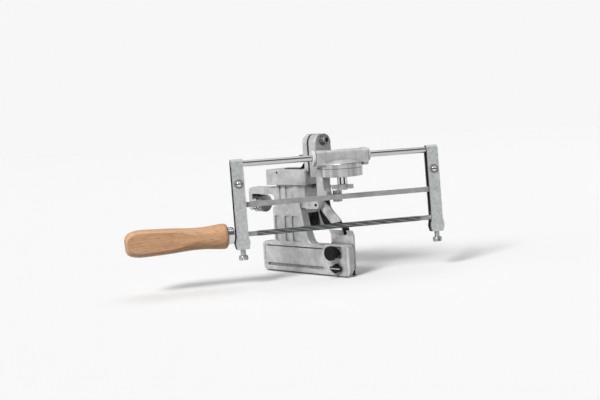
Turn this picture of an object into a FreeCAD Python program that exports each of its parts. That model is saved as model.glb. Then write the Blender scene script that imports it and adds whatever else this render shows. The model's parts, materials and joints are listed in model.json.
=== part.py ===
import FreeCAD, Part
import math
import os

# Bar-mounted chainsaw sharpener: a clamp casting that grips the guide bar, a swing arm with a
# turntable on top of it, and a filing frame that slides and tilts on the turntable.
# Millimetres. +Z up, +X along the guide bar, -Y towards the user. The origin lies on the fixed
# jaw's clamping face, halfway up the jaws.

# Clearances
shaft_gap = 0.05
slide_gap = 0.1
run_gap = 0.4

# Guide bar slot and the chain tunnel above it
bar_slot = 4.8
tunnel_half = 7.3
wall_half = 17.0
bar_mid = -bar_slot / 2
near_front = bar_mid - wall_half
near_back = bar_mid - tunnel_half
rear_front = bar_mid + tunnel_half
rear_back = bar_mid + wall_half

# Clamp jaws
jaw_left = -81.5
jaw_right = 38.0
jaw_bottom = -14.0
jaw_top = 16.0
jaw_corner = 4.5
cast_edge = 1.0
rear_jaw_right = 18.0
rear_jaw_top = 11.0
rear_jaw_depth = 11.0
panel_margin = 3.0
panel_right = 5.8
panel_low = -9.0
panel_high = 12.5
panel_depth = 0.7
panel_groove = 3.0
panel_groove_depth = 2.8
end_flute_r = 2.9
end_flute_top = 2.5
nub_height = 1.0
nub_spans = ((13.5, 21.5), (27.0, 36.5))

# Column, bridge and rear leg
column_left = -63.0
column_right = -22.5
column_waist = -19.0
column_foot = -12.0
waist_z = 34.0
column_top = 51.0
tunnel_roof = 45.0
column_pockets = ((-60.3, -53.6), (-46.2, -38.8), (-35.9, -24.5))
pocket_top = 43.0
pocket_depth = 1.6
rear_leg_cut_x = -42.0
rear_leg_cut_z = 30.0

# Neck and upper block
neck_left = -54.6
neck_right = -14.7
neck_back = 8.0
ledge_z = 58.6
block_bottom = 74.5
block_top = 90.0
block_left = -66.0
block_right = -9.0
block_front = -24.4
block_back = 9.6
block_corner = 3.5
boss_x = -26.0
boss_r = 6.5
boss_proud = 2.2
neck_grooves = ((-51.5, -47.5), (-42.5, -37.0))
neck_groove_depth = 1.3
block_pin_x = -48.0
block_pin_z = 87.0
block_pin_r = 1.4
block_pin_sunk = 2.5
block_pin_length = 20.0

# Pivot ear and swing arm
pivot_y = -8.0
pivot_z = block_top + 28.2
ear_left = -14.0
ear_right = -7.5
ear_waist = 1.6
ear_waist_z = block_top + 7.0
arm_left = -5.0
plate_right = 4.0
arm_front = near_front
arm_back = 2.9
arm_top = pivot_z + 6.1
arm_crown = 9.0
pivot_r = 2.6
pivot_head_r = 4.3
pivot_head_t = 2.6
pivot_washer_r = 5.6
pivot_washer_t = 0.8
spring_washer_r = 4.7
spring_washer_t = 1.2
spring_washer_split = 1.0
pivot_key = 5.0
disc_bottom = 82.5
disc_thick = 7.8
disc_r = 20.3
leg_left = 2.5
leg_right = 11.4
leg_back = -9.0
foot_bottom = disc_bottom - 22.0
foot_thick = 4.0
foot_right = 22.6
foot_rail_back = -12.6
foot_rail_right = 16.0
foot_rail_top = foot_bottom + 8.1
leg_bend = 3.3
foot_back = -1.2
stop_pin_r = 2.0
stop_pin_z = 72.0
stop_pin_end = 9.0
stop_gap = 0.3

# Latch spring on the block, a black bent leaf
latch_thick = 0.8
latch_front = -16.0
latch_width = 6.5
latch_left = -45.0
latch_top = block_top + 14.0
latch_tab = 9.0

# Fixed jaw plate and its screws
jaw_plate_t = 2.0
jaw_plate_left = -76.0
jaw_plate_right = 16.0
jaw_plate_low = -13.0
jaw_plate_high = 10.0
plate_screw_x = (-62.0, 6.0)
plate_screw_r = 2.0
plate_screw_head_r = 3.8
plate_screw_sunk = 0.3
plate_screw_length = 8.0

# Pressure plate
plate_t = 2.0
plate_left = -74.0
plate_end = 35.8
plate_low = -14.3
plate_high = 15.0
plate_bevel = 5.0
leaf_left = 6.0
leaf_under_file = 2.782
leaf_flare_height = 5.5
lip_flare = 2.4
leaf_notch = (22.5, 29.0)
leaf_notch_depth = 5.0
guide_pin_x = (-64.0, -8.0)
guide_pin_z = 4.0
guide_pin_r = 2.0
guide_pin_length = 7.2
guide_pin_room = 3.4
plate_foot_width = 5.5
plate_foot_height = 5.0
plate_foot_proud = 1.2
plate_foot_room = 0.8

# Clamping knob and wing screw
knob_x = 24.0
knob_z = 9.4
knob_r = 7.15
knob_lobe_r = 1.6
knob_lobe_depth = 0.6
knob_lobes = 9
knob_edge = 1.2
knob_cap = 3.6
knob_grip_r = 5.7
knob_back = near_front - 1.6
knob_front = knob_back - 8.9
knob_pocket = (16.2, 31.2, 3.6, 15.2)
knob_pocket_depth = 2.5
screw_r = 2.9
collar_r = 4.4
tip_r = 2.2
wing_x = 25.0
wing_z = -5.9
wing_half = 6.8
wing_height = 9.5
wing_t = 2.6
wing_front = knob_back - 3.0
wing_bar_r = 0.75
screw_collar_length = 1.2

# Feed wheel, spindle and yoke
feed_y = -14.0
feed_z = column_top + 3.5
wheel_left = -91.0
wheel_right = -78.0
wheel_r = 8.9
wheel_grooves = ((-89.0, -88.2), (-85.2, -83.4), (-80.9, -79.6))
wheel_groove_depth = 1.8
spindle_r = 2.2
spindle_tip = -34.0
yoke_left = -97.5
yoke_wall = 5.0
yoke_half = 6.0
yoke_strap_low = feed_z + 9.9
yoke_strap_high = feed_z + 17.0
clip_r = 4.6
clip_t = 1.2

# Stop carriage
shank_left = -46.0
shank_half_y = 3.5
shank_half_z = 3.2
carriage_travel = 2.0
carriage_left = -17.0
carriage_half_z = 3.8
pawl_x = -2.0
dimple_x = -10.0
dimple_r = 1.1
pawl_pin_r = 1.5

# Pawl, lever and torsion spring
pawl_front = -3.2
pawl_back = -0.6
lever_t = 1.8
pawl_hub_r = 2.4
spring_wire = 0.6
spring_r = 3.4
spring_turns = 2.5
spring_pitch = 1.15
spring_leg = 5.0

# Height stop under the foot
height_x = leg_right + 6.3
height_nut_r = 4.6
height_nut_t = 3.6
height_lock_t = 2.6
height_flutes = 20
height_flute_r = 0.45
height_pin_r = 1.9
height_pin_low = foot_bottom - 3.3
height_pin_top = foot_bottom + 8.2
height_gap = 0.3

# Turntable
turn_x = 25.2
turn_y = -6.4
dish_thick = 5.3
dish_edge = 1.6
dome_foot_r = disc_r - dish_edge - 0.4
dome_r = 9.5
dome_rise = 2.6
stud_r = 2.9
stud_head_r = 6.0
stud_head_t = 2.4
hub_r = 5.0
hub_slots = 8
hub_slot = 1.4
hub_slot_depth = 0.9
wing_nut_high = disc_bottom - 8.0
wing_nut_low = wing_nut_high - 5.4
wing_nut_r = 5.0
wing_nut_span = 10.6
wing_nut_t = 2.6
hub_gap = 0.3

# Guide body along the rod, with lengths measured along the rod from the turntable axis
file_angle = 60.0
lean = 3.6
rod_z = disc_bottom + disc_thick + run_gap + dish_thick + 5.65
rod_r = 3.0
barrel_start = -17.9
barrel_end = 20.5
barrel_half = 6.6
barrel_round = 3.9
collar_start = -26.1
collar_end = 25.8
collar_half = 7.1
collar_low = -9.6
collar_high = 7.0
collar_chamfer = 2.4
bush_r = 4.9
bush_flange = 0.3
left_flange_r = 7.0
left_flange_t = 2.6
right_flange_r = 6.25
right_flange_t = 2.4
bush_length = 15.0

# Filing frame, with drops measured down from the rod
left_arm = -103.2
right_arm = 92.8
arm_width = 11.5
strap_t = 1.5
file_drop = 66.9
strap_drop = file_drop + 14.1
bulge_drop = file_drop + 8.1
bulge_half = 7.2
bulge_rise = 7.0
rod_short = 0.4
pinch_drop = 19.0
pinch_r = 1.5
pinch_head_r = 2.6
pinch_head_t = 1.8
pinch_slot = 0.8
pinch_washer_r = 4.4
pinch_washer_t = 0.8
pinch_nut_r = 3.2
pinch_nut_t = 2.4
bar_drop = 39.0
bar_height = 5.0
bar_thick = 2.5
bar_inset = 1.0
crease_drop = bar_drop - 2.1
crease_depth = 0.25
crease_half = 0.4
rivet_r = 1.3

# File, its saddles and clamping screws
file_r = 2.6
shank_r = 2.3
cut_start = left_arm + 13.8
cut_end = right_arm - 16.6
file_end = right_arm + arm_width / 2 - 0.5
saddle_height = 5.5
saddle_inset = 1.0
screw_block_top = file_drop + 5.1
screw_block_low = file_drop + 13.1
screw_block_inset = 0.4
clamp_screw_r = 2.0
clamp_neck_r = 2.5
clamp_neck_drop = strap_drop + 5.5
clamp_head_r = 4.5
clamp_head_drop = clamp_neck_drop + 4.8
clamp_head_edge = 1.5
clamp_slot = 1.9
clamp_slot_depth = 3.2
clamp_tip_gap = 0.3

# Handle
ferrule_gap = 0.6
ferrule_length = 5.9
ferrule_front = left_arm - bulge_half - ferrule_gap
handle_front = ferrule_front - ferrule_length
ferrule_r = 8.0
ferrule_t = 1.2
tang_end = handle_front - 25.1
handle_length = 96.0
handle_front_r = 12.0
handle_waist_r = 10.4
handle_waist = 32.0
handle_max_r = 12.7
handle_max = 75.0
handle_tip_r = 5.5
handle_round = 3.6
handle_facet = 8.9
facet_run = 51.0
facet_end = 29.0
facet_clear = 0.3


# Basic solids


def vec(x, y, z):
    return FreeCAD.Vector(x, y, z)


def box(x0, x1, y0, y1, z0, z1):
    return Part.makeBox(x1 - x0, y1 - y0, z1 - z0, vec(x0, y0, z0))


def rod(start, end, radius):
    path = end - start
    return Part.makeCylinder(radius, path.Length, start, path)


def along_y(x, z, y0, y1, radius):
    return rod(vec(x, y0, z), vec(x, y1, z), radius)


def along_x(y, z, x0, x1, radius):
    return rod(vec(x0, y, z), vec(x1, y, z), radius)


def along_z(x, y, z0, z1, radius):
    return rod(vec(x, y, z0), vec(x, y, z1), radius)


def fuse(first, *others):
    shape = first
    for other in others:
        shape = shape.fuse(other)
    return shape.removeSplitter()


def cut(shape, *tools):
    for tool in tools:
        shape = shape.cut(tool)
    return shape


def rounded_wire(corners, place):
    """A closed wire through corners (a, b, radius), each rounded by its own radius."""
    count = len(corners)
    starts = []
    middles = []
    ends = []
    for i, (a, b, radius) in enumerate(corners):
        here = vec(a, b, 0)
        back = vec(corners[i - 1][0], corners[i - 1][1], 0) - here
        ahead = vec(corners[(i + 1) % count][0], corners[(i + 1) % count][1], 0) - here
        back.normalize()
        ahead.normalize()
        half = back.getAngle(ahead) / 2
        reach = radius / math.tan(half)
        inward = (back + ahead).normalize() if radius else vec(0, 0, 0)
        starts.append(here + back * reach)
        ends.append(here + ahead * reach)
        middles.append(here + inward * (radius / math.sin(half) - radius))
    edges = []
    for i in range(count):
        if corners[i][2]:
            arc = Part.Arc(place(starts[i]), place(middles[i]), place(ends[i]))
            edges.append(arc.toShape())
        after = starts[(i + 1) % count]
        if (after - ends[i]).Length > 1e-6:
            edges.append(Part.LineSegment(place(ends[i]), place(after)).toShape())
    return Part.Wire(edges)


def plate_xz(corners, y0, y1):
    """A plate across Y whose outline is given as (x, z, corner radius)."""
    wire = rounded_wire(corners, lambda p: vec(p.x, y0, p.y))
    return Part.Face(wire).extrude(vec(0, y1 - y0, 0))


def plate_yz(corners, x0, x1):
    """A plate across X whose outline is given as (y, z, corner radius)."""
    wire = rounded_wire(corners, lambda p: vec(x0, p.x, p.y))
    return Part.Face(wire).extrude(vec(x1 - x0, 0, 0))


def plate_xy(corners, z0, z1):
    """A plate across Z whose outline is given as (x, y, corner radius)."""
    wire = rounded_wire(corners, lambda p: vec(p.x, p.y, z0))
    return Part.Face(wire).extrude(vec(0, 0, z1 - z0))


def rectangle(a0, a1, b0, b1, radius):
    return [(a0, b0, radius), (a1, b0, radius), (a1, b1, radius), (a0, b1, radius)]


def soften(shape, radius, axis, level):
    """Rounds every edge that lies in the plane where this axis has this level."""
    edges = []
    for edge in shape.Edges:
        ends = [vertex.Point[axis] for vertex in edge.Vertexes]
        if all(abs(end - level) < 1e-6 for end in ends):
            edges.append(edge)
    return shape.makeFillet(radius, edges)


def ring_of(shape, centre, axis, count):
    """Copies of a shape turned evenly about an axis."""
    copies = []
    for i in range(count):
        copy = shape.copy()
        copy.rotate(centre, axis, 360.0 * i / count)
        copies.append(copy)
    return copies


def hexagon(centre, direction, across, depth):
    """A hexagonal prism of this width across its flats, from centre along direction."""
    corner = across / math.sqrt(3)
    wire = Part.makePolygon([vec(corner * math.cos(math.radians(60 * i)),
                                 corner * math.sin(math.radians(60 * i)), 0) for i in range(7)])
    shape = Part.Face(wire).extrude(vec(0, 0, depth))
    turn = FreeCAD.Rotation(vec(0, 0, 1), direction)
    shape.Placement = FreeCAD.Placement(centre, turn)
    return shape


# Clamp casting


def near_wall():
    corners = [
        (jaw_left, jaw_bottom, jaw_corner),
        (jaw_right, jaw_bottom, jaw_corner),
        (jaw_right, jaw_top, jaw_corner),
        (column_foot, jaw_top, 6.0),
        (column_waist, waist_z, 20.0),
        (column_right, column_top, 0),
        (column_left, column_top, 0),
        (column_left, jaw_top, 3.0),
        (jaw_left, jaw_top, jaw_corner),
    ]
    wall = plate_xz(corners, near_front, near_back)
    wall = soften(wall, cast_edge, 1, near_front)
    return cut(wall, *panel_cuts(), *pocket_cuts(), *jaw_end_cuts())


def panel_cuts():
    """The sunk panel of the jaw with a deeper line along its top and bottom."""
    left = jaw_left + panel_margin
    front = near_front - 1
    panel = plate_xz(rectangle(left, panel_right, panel_low, panel_high, 2.5),
                     front, near_front + panel_depth)
    deep = near_front + panel_groove_depth
    low = plate_xz(rectangle(left + 3, panel_right, panel_low, panel_low + panel_groove, 1.0),
                   front, deep)
    high = plate_xz(rectangle(left + 3, panel_right, panel_high - panel_groove / 2, panel_high, 0.5),
                    front, deep)
    return [panel, low, high]


def pocket_cuts():
    """The upright pockets in the front of the column."""
    pockets = []
    for left, right in column_pockets:
        radius = min(right - left, 6.0) * 0.35
        corners = rectangle(left, right, jaw_top + 1.0, pocket_top, radius)
        pockets.append(plate_xz(corners, near_front - 1, near_front + pocket_depth))
    return pockets


def jaw_end_cuts():
    """The hollow flute down the jaw's right front corner and the pocket round the knob."""
    top = jaw_top - end_flute_top
    flute = along_z(jaw_right, near_front, jaw_bottom - 2 * nub_height, top, end_flute_r)
    dome = Part.makeSphere(end_flute_r, vec(jaw_right, near_front, top))
    x0, x1, z0, z1 = knob_pocket
    pocket = plate_xz(rectangle(x0, x1, z0, z1, 1.2), near_front - 1,
                      near_front + knob_pocket_depth)
    return [flute, dome, pocket]


def rear_wall():
    leg = plate_xz([
        (column_left, jaw_bottom + 10, 0),
        (rear_leg_cut_x, jaw_bottom + 10, 0),
        (rear_leg_cut_x, rear_leg_cut_z, 6.0),
        (column_waist, rear_leg_cut_z, 2.0),
        (column_right, column_top, 0),
        (column_left, column_top, 0),
    ], rear_front, rear_back)
    leg = soften(leg, cast_edge, 1, rear_back)
    jaw = plate_xz(rectangle(jaw_left, rear_jaw_right, jaw_bottom, rear_jaw_top, jaw_corner),
                   jaw_plate_t, jaw_plate_t + rear_jaw_depth)
    jaw = soften(jaw, cast_edge, 1, jaw_plate_t + rear_jaw_depth)
    return fuse(leg, jaw)


def neck():
    low = box(neck_left, column_right, near_front, neck_back, column_top - 1, ledge_z)
    high = box(neck_left, neck_right, near_front, neck_back, ledge_z, block_bottom + 1)
    boss = along_z(boss_x, near_front + boss_r - boss_proud, ledge_z, block_bottom + 1, boss_r)
    grooves = []
    for left, right in neck_grooves:
        corners = rectangle(left, right, column_top + 3, block_bottom - 1.5, 1.2)
        grooves.append(plate_xz(corners, near_front - 1, near_front + neck_groove_depth))
    return cut(fuse(low, high, boss), *grooves)


def upper_block():
    corners = rectangle(block_left, block_right, block_front, block_back, block_corner)
    block = plate_xy(corners, block_bottom, block_top)
    block = soften(block, cast_edge, 2, block_top)
    return soften(block, cast_edge, 2, block_bottom)


def crown(front, back, low):
    """The rounded outline that the ear and the arm share, as seen along X."""
    return [(front, low, 0), (back, low, 0), (back, arm_top, arm_crown), (front, arm_top, arm_crown)]


def ear():
    shape = plate_yz(crown(near_front, arm_back, block_top - 2), ear_left, ear_right)
    shape = soften(shape, cast_edge, 0, ear_left)
    waist = box(ear_left - 1, ear_left + ear_waist, near_front - 1, arm_back + 1,
                block_top + 1.5, ear_waist_z)
    return cut(shape, waist)


def yoke():
    """The arched bracket on the left that carries the feed wheel."""
    front = feed_y - yoke_half
    back = feed_y + yoke_half
    strap = plate_xz([
        (yoke_left, feed_z - 7, 2.5),
        (yoke_left + yoke_wall, feed_z - 7, 1.5),
        (yoke_left + yoke_wall, yoke_strap_low, 1.5),
        (column_left + 4, yoke_strap_low, 4.0),
        (column_left + 4, column_top - 2, 0),
        (neck_left + 2, column_top - 2, 0),
        (neck_left + 2, yoke_strap_high + 2, 0),
        (neck_left - 3, yoke_strap_high, 2.5),
        (yoke_left, yoke_strap_high, 5.0),
    ], front, back)
    return soften(strap, 0.7, 1, front)


def body_bores():
    """Holes through the casting for everything that passes into it."""
    right_seat = near_front + knob_pocket_depth
    bores = [
        along_y(knob_x, knob_z, near_front - 1, near_back + 1, screw_r + shaft_gap),
        along_y(knob_x, knob_z, near_front - 1, right_seat, collar_r + slide_gap),
        along_y(wing_x, wing_z, near_front - 1, near_back + 1, screw_r + shaft_gap),
        along_x(pivot_y, pivot_z, ear_left - 1, ear_right + 1, pivot_r),
        along_x(feed_y, feed_z, yoke_left - 1, neck_left, spindle_r + shaft_gap),
        along_x(feed_y, feed_z, neck_left, shank_left, spindle_r + run_gap),
        along_x(pivot_y + stop_pin_shift(), stop_pin_z, neck_right - 12, block_right + 1,
                stop_pin_r),
        along_y(block_pin_x, block_pin_z, block_front - 1, block_front + block_pin_length,
                block_pin_r + shaft_gap),
    ]
    for x in guide_pin_x:
        depth = near_back - guide_pin_length + plate_gap() - guide_pin_room
        bores.append(along_y(x, guide_pin_z, depth, near_back + 1, guide_pin_r + shaft_gap))
    for x in plate_screw_x:
        bores.append(along_y(x, plate_screw_z(), jaw_plate_t - 1, plate_screw_length + slide_gap,
                             plate_screw_r))
    return bores


def plate_gap():
    """How far the pressure plate stands from the near jaw at rest."""
    return -bar_slot - plate_t - near_back


def plate_screw_z():
    return (jaw_plate_low + jaw_plate_high) / 2


def stop_pin_shift():
    """From the pivot's Y to the stop pin's, which lies just behind the arm's leg."""
    return leg_back + stop_gap + stop_pin_r - pivot_y


def carriage_channel():
    low_x = shank_left - carriage_travel - 1.5
    return box(low_x, column_right + 1, feed_y - shank_half_y - slide_gap,
               feed_y + shank_half_y + slide_gap, feed_z - shank_half_z - slide_gap,
               feed_z + shank_half_z + slide_gap)


def clamp_body():
    bridge = box(column_left, column_right, near_back - 1, rear_front + 1, tunnel_roof, column_top)
    shape = fuse(near_wall(), rear_wall(), bridge, neck(), upper_block(), ear(), yoke())
    for left, right in nub_spans:
        nub = plate_xz(rectangle(left, right, jaw_bottom - nub_height, jaw_bottom + 3, 0.8),
                       near_front + 2, near_back - 2)
        shape = fuse(shape, nub)
    return cut(shape, *body_bores(), carriage_channel(), plate_foot_pocket())


def fixed_jaw_plate():
    plate = plate_xz(rectangle(jaw_plate_left, jaw_plate_right, jaw_plate_low, jaw_plate_high, 2.0),
                     0, jaw_plate_t)
    for x in plate_screw_x:
        mouth = along_y(x, plate_screw_z(), -1, plate_screw_sunk, plate_screw_head_r)
        plate = cut(plate, countersink(x, plate_screw_sunk), mouth)
    return plate


def countersink(x, start):
    z = plate_screw_z()
    depth = plate_screw_head_r - plate_screw_r
    cone = Part.makeCone(plate_screw_head_r, plate_screw_r, depth, vec(x, start, z), vec(0, 1, 0))
    return cone.fuse(along_y(x, z, start, plate_screw_length, plate_screw_r))


def jaw_plate_screws():
    screws = []
    for x in plate_screw_x:
        screw = countersink(x, plate_screw_sunk)
        drive = hexagon(vec(x, plate_screw_sunk - 0.1, plate_screw_z()), vec(0, 1, 0), 2.4, 1.3)
        screws.append(cut(screw, drive))
    return Part.makeCompound(screws)


def latch_spring():
    """A bent leaf: flat on the block, up beside the ear, and over into a tab."""
    right = ear_left - 0.05
    low = block_top
    t = latch_thick
    corners = [
        (latch_left, low, 0),
        (right - 7.5, low, 5.0),
        (right, low + 8.0, 5.0),
        (right, latch_top, 1.5),
        (right - latch_tab, latch_top, 0),
        (right - latch_tab, latch_top - t, 0),
        (right - t, latch_top - t, 0.7),
        (right - t, low + 8.4, 4.2),
        (right - 7.9, low + t, 5.8),
        (latch_left, low + t, 0),
    ]
    return plate_xz(corners, latch_front, latch_front + latch_width)


def block_pin():
    return along_y(block_pin_x, block_pin_z, block_front + block_pin_sunk,
                   block_front + block_pin_length, block_pin_r)


def pivot_screw():
    head_start = head_seat()
    head = along_x(pivot_y, pivot_z, head_start, head_start + pivot_head_t, pivot_head_r)
    head = soften(head, 0.5, 0, head_start + pivot_head_t)
    key = hexagon(vec(head_start + pivot_head_t + 0.1, pivot_y, pivot_z), vec(-1, 0, 0),
                  pivot_key, 2.3)
    stem = along_x(pivot_y, pivot_z, ear_left + 0.8, head_start + 1, pivot_r)
    return cut(fuse(head, stem), key)


def head_seat():
    """Where the pivot screw's head starts, past both washers."""
    return plate_right + run_gap + pivot_washer_t + spring_washer_t


def pivot_washers():
    """A flat washer on the arm, and one between the ear and the arm."""
    washers = []
    spans = [(plate_right + run_gap, pivot_washer_t), (ear_right, arm_left - ear_right - run_gap)]
    for start, thick in spans:
        washer = along_x(pivot_y, pivot_z, start, start + thick, pivot_washer_r)
        bore = along_x(pivot_y, pivot_z, start - 1, start + thick + 1, pivot_r)
        washers.append(cut(washer, bore))
    return Part.makeCompound(washers)


def spring_washer():
    """The split washer under the pivot screw's head."""
    start = head_seat() - spring_washer_t
    washer = along_x(pivot_y, pivot_z, start, head_seat(), spring_washer_r)
    split = box(start - 1, head_seat() + 1, pivot_y, pivot_y + 2 * spring_washer_r,
                pivot_z - spring_washer_split / 2, pivot_z + spring_washer_split / 2)
    return cut(washer, split, along_x(pivot_y, pivot_z, start - 1, head_seat() + 1, pivot_r))


def arm_stop_pin():
    y = pivot_y + stop_pin_shift()
    pin = along_x(y, stop_pin_z, neck_right - 12, stop_pin_end, stop_pin_r)
    return soften(pin, 0.5, 0, stop_pin_end)


# Pressure plate and its two screws


def leaf_top():
    """The raised leaf ends just under the file."""
    return rod_z - file_drop * math.cos(math.radians(lean)) - file_r - leaf_under_file


def pressure_plate():
    front = -bar_slot - plate_t
    back = -bar_slot
    top = leaf_top()
    bend = top - leaf_flare_height
    flat = plate_xz([
        (plate_left, plate_low, 3.0),
        (plate_end, plate_low, 1.0),
        (plate_end, bend, 0),
        (leaf_left, bend, 0),
        (leaf_left, plate_high, 2.5),
        (plate_left + plate_bevel, plate_high, 0),
        (plate_left, plate_high - plate_bevel, 0),
    ], front, back)
    lip = plate_yz([
        (front, bend - 0.01, 0),
        (back, bend - 0.01, 0),
        (back, bend, 0),
        (back - lip_flare, top, 0),
        (front - lip_flare, top, 0),
        (front, bend, 0),
    ], leaf_left, plate_end)
    notch = box(leaf_notch[0], leaf_notch[1], front - lip_flare - 1, back + 1,
                top - leaf_notch_depth, top + 1)
    shape = cut(fuse(flat, lip), notch)
    for x in guide_pin_x:
        shape = cut(shape, along_y(x, guide_pin_z, front - 1, back + 1, guide_pin_r))
    return shape


def guide_pins():
    """Two pins riveted in the pressure plate that slide in the near jaw."""
    front = -bar_slot - plate_t
    pins = []
    for x in guide_pin_x:
        pin = along_y(x, guide_pin_z, front - guide_pin_length, -bar_slot - 0.3, guide_pin_r)
        pins.append(soften(pin, 0.4, 1, front - guide_pin_length))
    return Part.makeCompound(pins)


def plate_foot():
    """The small black block on the plate's lower right corner."""
    front = -bar_slot - plate_t
    return plate_xz(rectangle(plate_end - plate_foot_width, plate_end, plate_low,
                              plate_low + plate_foot_height, 1.0), front - plate_foot_proud, front)


def plate_foot_pocket():
    """The step in the near jaw that the foot backs into when the clamp opens."""
    room = plate_foot_room
    return box(plate_end - plate_foot_width - room, jaw_right + 1, near_back - plate_foot_proud - room,
               near_back + 1, jaw_bottom - 2, plate_low + plate_foot_height + room)


def spindle(x, z, start):
    """A clamping spindle from its handle to the pressure plate."""
    tip = -bar_slot - plate_t
    thread = along_y(x, z, start, tip - 1.0, screw_r)
    end = along_y(x, z, tip - 1.0, tip - 0.3, tip_r)
    return fuse(thread, end)


def upper_knob():
    """A lobed disc in front of a narrower fluted grip."""
    split = knob_front + knob_cap
    disc = along_y(knob_x, knob_z, knob_front, split, knob_r)
    disc = soften(disc, knob_edge, 1, knob_front)
    disc = cut(disc, *knob_scallops(knob_front - 1, split + 1, knob_r))
    grip = along_y(knob_x, knob_z, split - 1, knob_back, knob_grip_r)
    grip = cut(grip, *knob_scallops(split, knob_back + 1, knob_grip_r))
    bore = along_y(knob_x, knob_z, knob_back - 5, knob_back + 1, screw_r)
    return cut(fuse(disc, grip), bore)


def knob_scallops(start, end, radius):
    """The hollows between the lobes of a round of this radius."""
    away = radius + knob_lobe_r - knob_lobe_depth
    hollow = along_y(knob_x + away, knob_z, start, end, knob_lobe_r)
    return ring_of(hollow, vec(knob_x, 0, knob_z), vec(0, 1, 0), knob_lobes)


def upper_spindle():
    collar = along_y(knob_x, knob_z, knob_back, knob_back + screw_collar_length, collar_r)
    return fuse(spindle(knob_x, knob_z, knob_back - 5), collar)


def lower_wing():
    """The black wing handle with a bright cross bar let into its front."""
    half = wing_height / 2
    corners = [
        (wing_x - wing_half, wing_z - 1.2, 0.5),
        (wing_x - 3.0, wing_z - half * 0.75, 1.5),
        (wing_x, wing_z - half, 2.0),
        (wing_x + 3.0, wing_z - half * 0.75, 1.5),
        (wing_x + wing_half, wing_z - 1.2, 0.5),
        (wing_x + wing_half, wing_z + 1.6, 0.8),
        (wing_x + 2.6, wing_z + 2.4, 1.0),
        (wing_x, wing_z + half, 2.0),
        (wing_x - 2.6, wing_z + 2.4, 1.0),
        (wing_x - wing_half, wing_z + 1.6, 0.8),
    ]
    shape = plate_xz(corners, wing_front, wing_front + wing_t)
    hub = along_y(wing_x, wing_z, wing_front + wing_t, knob_back, collar_r)
    slot = along_x(wing_front, wing_z, wing_x - wing_half - 1, wing_x + wing_half + 1, wing_bar_r)
    bore = along_y(wing_x, wing_z, wing_front + wing_t, knob_back + 1, screw_r)
    return cut(fuse(shape, hub), slot, bore)


def wing_bar():
    return along_x(wing_front, wing_z, wing_x - wing_half + 0.4, wing_x + wing_half - 0.4,
                   wing_bar_r)


def lower_spindle():
    return spindle(wing_x, wing_z, wing_front + wing_t)


# Feed wheel and stop carriage


def feed_wheel():
    """The thumb wheel, with grooves turned round its rim for grip."""
    wheel = along_x(feed_y, feed_z, wheel_left, wheel_right, wheel_r)
    for start, end in wheel_grooves:
        ring = along_x(feed_y, feed_z, start, end, wheel_r + 1)
        core = along_x(feed_y, feed_z, start, end, wheel_r - wheel_groove_depth)
        wheel = cut(wheel, cut(ring, core))
    return cut(wheel, along_x(feed_y, feed_z, wheel_left - 1, wheel_right + 1, spindle_r))


def feed_spindle():
    return along_x(feed_y, feed_z, yoke_left - clip_t - run_gap, spindle_tip, spindle_r)


def spindle_clip():
    """The black end cap that keeps the spindle in the yoke."""
    end = yoke_left - run_gap
    cap = along_x(feed_y, feed_z, end - clip_t, end, clip_r)
    cap = soften(cap, 0.4, 0, end - clip_t)
    return cut(cap, along_x(feed_y, feed_z, end - clip_t - 1, end + 1, spindle_r))


def stop_carriage():
    front = feed_y - shank_half_y
    back = feed_y + shank_half_y
    shank = box(shank_left, carriage_left + 2, front, back, feed_z - shank_half_z,
                feed_z + shank_half_z)
    right = pawl_x + carriage_half_z
    lug = plate_xz([
        (carriage_left, feed_z - carriage_half_z, 1.0),
        (right, feed_z - carriage_half_z, carriage_half_z * 0.9),
        (right, feed_z + carriage_half_z, carriage_half_z * 0.9),
        (carriage_left, feed_z + carriage_half_z, 1.0),
    ], front, back)
    thread = along_x(feed_y, feed_z, shank_left - 1, spindle_tip + carriage_travel + 3,
                     spindle_r + shaft_gap)
    dimple = along_y(dimple_x, feed_z, front - 1, front + 0.8, dimple_r)
    hole = along_y(pawl_x, feed_z, front - 1, back + 1, pawl_pin_r)
    return cut(fuse(shank, lug), thread, dimple, hole)


def pawl_pin():
    start = feed_y - shank_half_y - 0.4
    pin = along_y(pawl_x, feed_z, start, pawl_back + run_gap, pawl_pin_r)
    cap = along_y(pawl_x, feed_z, pawl_back + run_gap, pawl_back + run_gap + 0.8, pawl_hub_r)
    return fuse(pin, cap)


def lever_front():
    return feed_y + shank_half_y + run_gap


def stop_pawl():
    """The black pawl with its hub, whose hooked tip stops the chain's tooth."""
    shape = plate_xz([
        (pawl_x - 6.0, feed_z + 4.0, 1.5),
        (pawl_x - 10.0, feed_z - 8.5, 1.5),
        (pawl_x - 4.5, feed_z - 21.0, 1.5),
        (pawl_x + 19.5, feed_z - 23.5, 1.0),
        (pawl_x + 22.6, feed_z - 30.5, 0.8),
        (pawl_x + 27.5, feed_z - 29.5, 0.8),
        (pawl_x + 27.5, feed_z - 23.4, 0.8),
        (pawl_x + 22.4, feed_z - 22.9, 0.3),
        (pawl_x + 18.6, feed_z - 18.5, 1.0),
        (pawl_x + 4.3, feed_z - 3.5, 2.0),
        (pawl_x + 3.0, feed_z + 4.0, 1.0),
    ], pawl_front, pawl_back)
    hub = along_y(pawl_x, feed_z, lever_front() + lever_t, pawl_front + 1, pawl_hub_r)
    hole = along_y(pawl_x, feed_z, lever_front() - 1, pawl_back + 1, pawl_pin_r + shaft_gap)
    return cut(fuse(shape, hub), hole)


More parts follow.
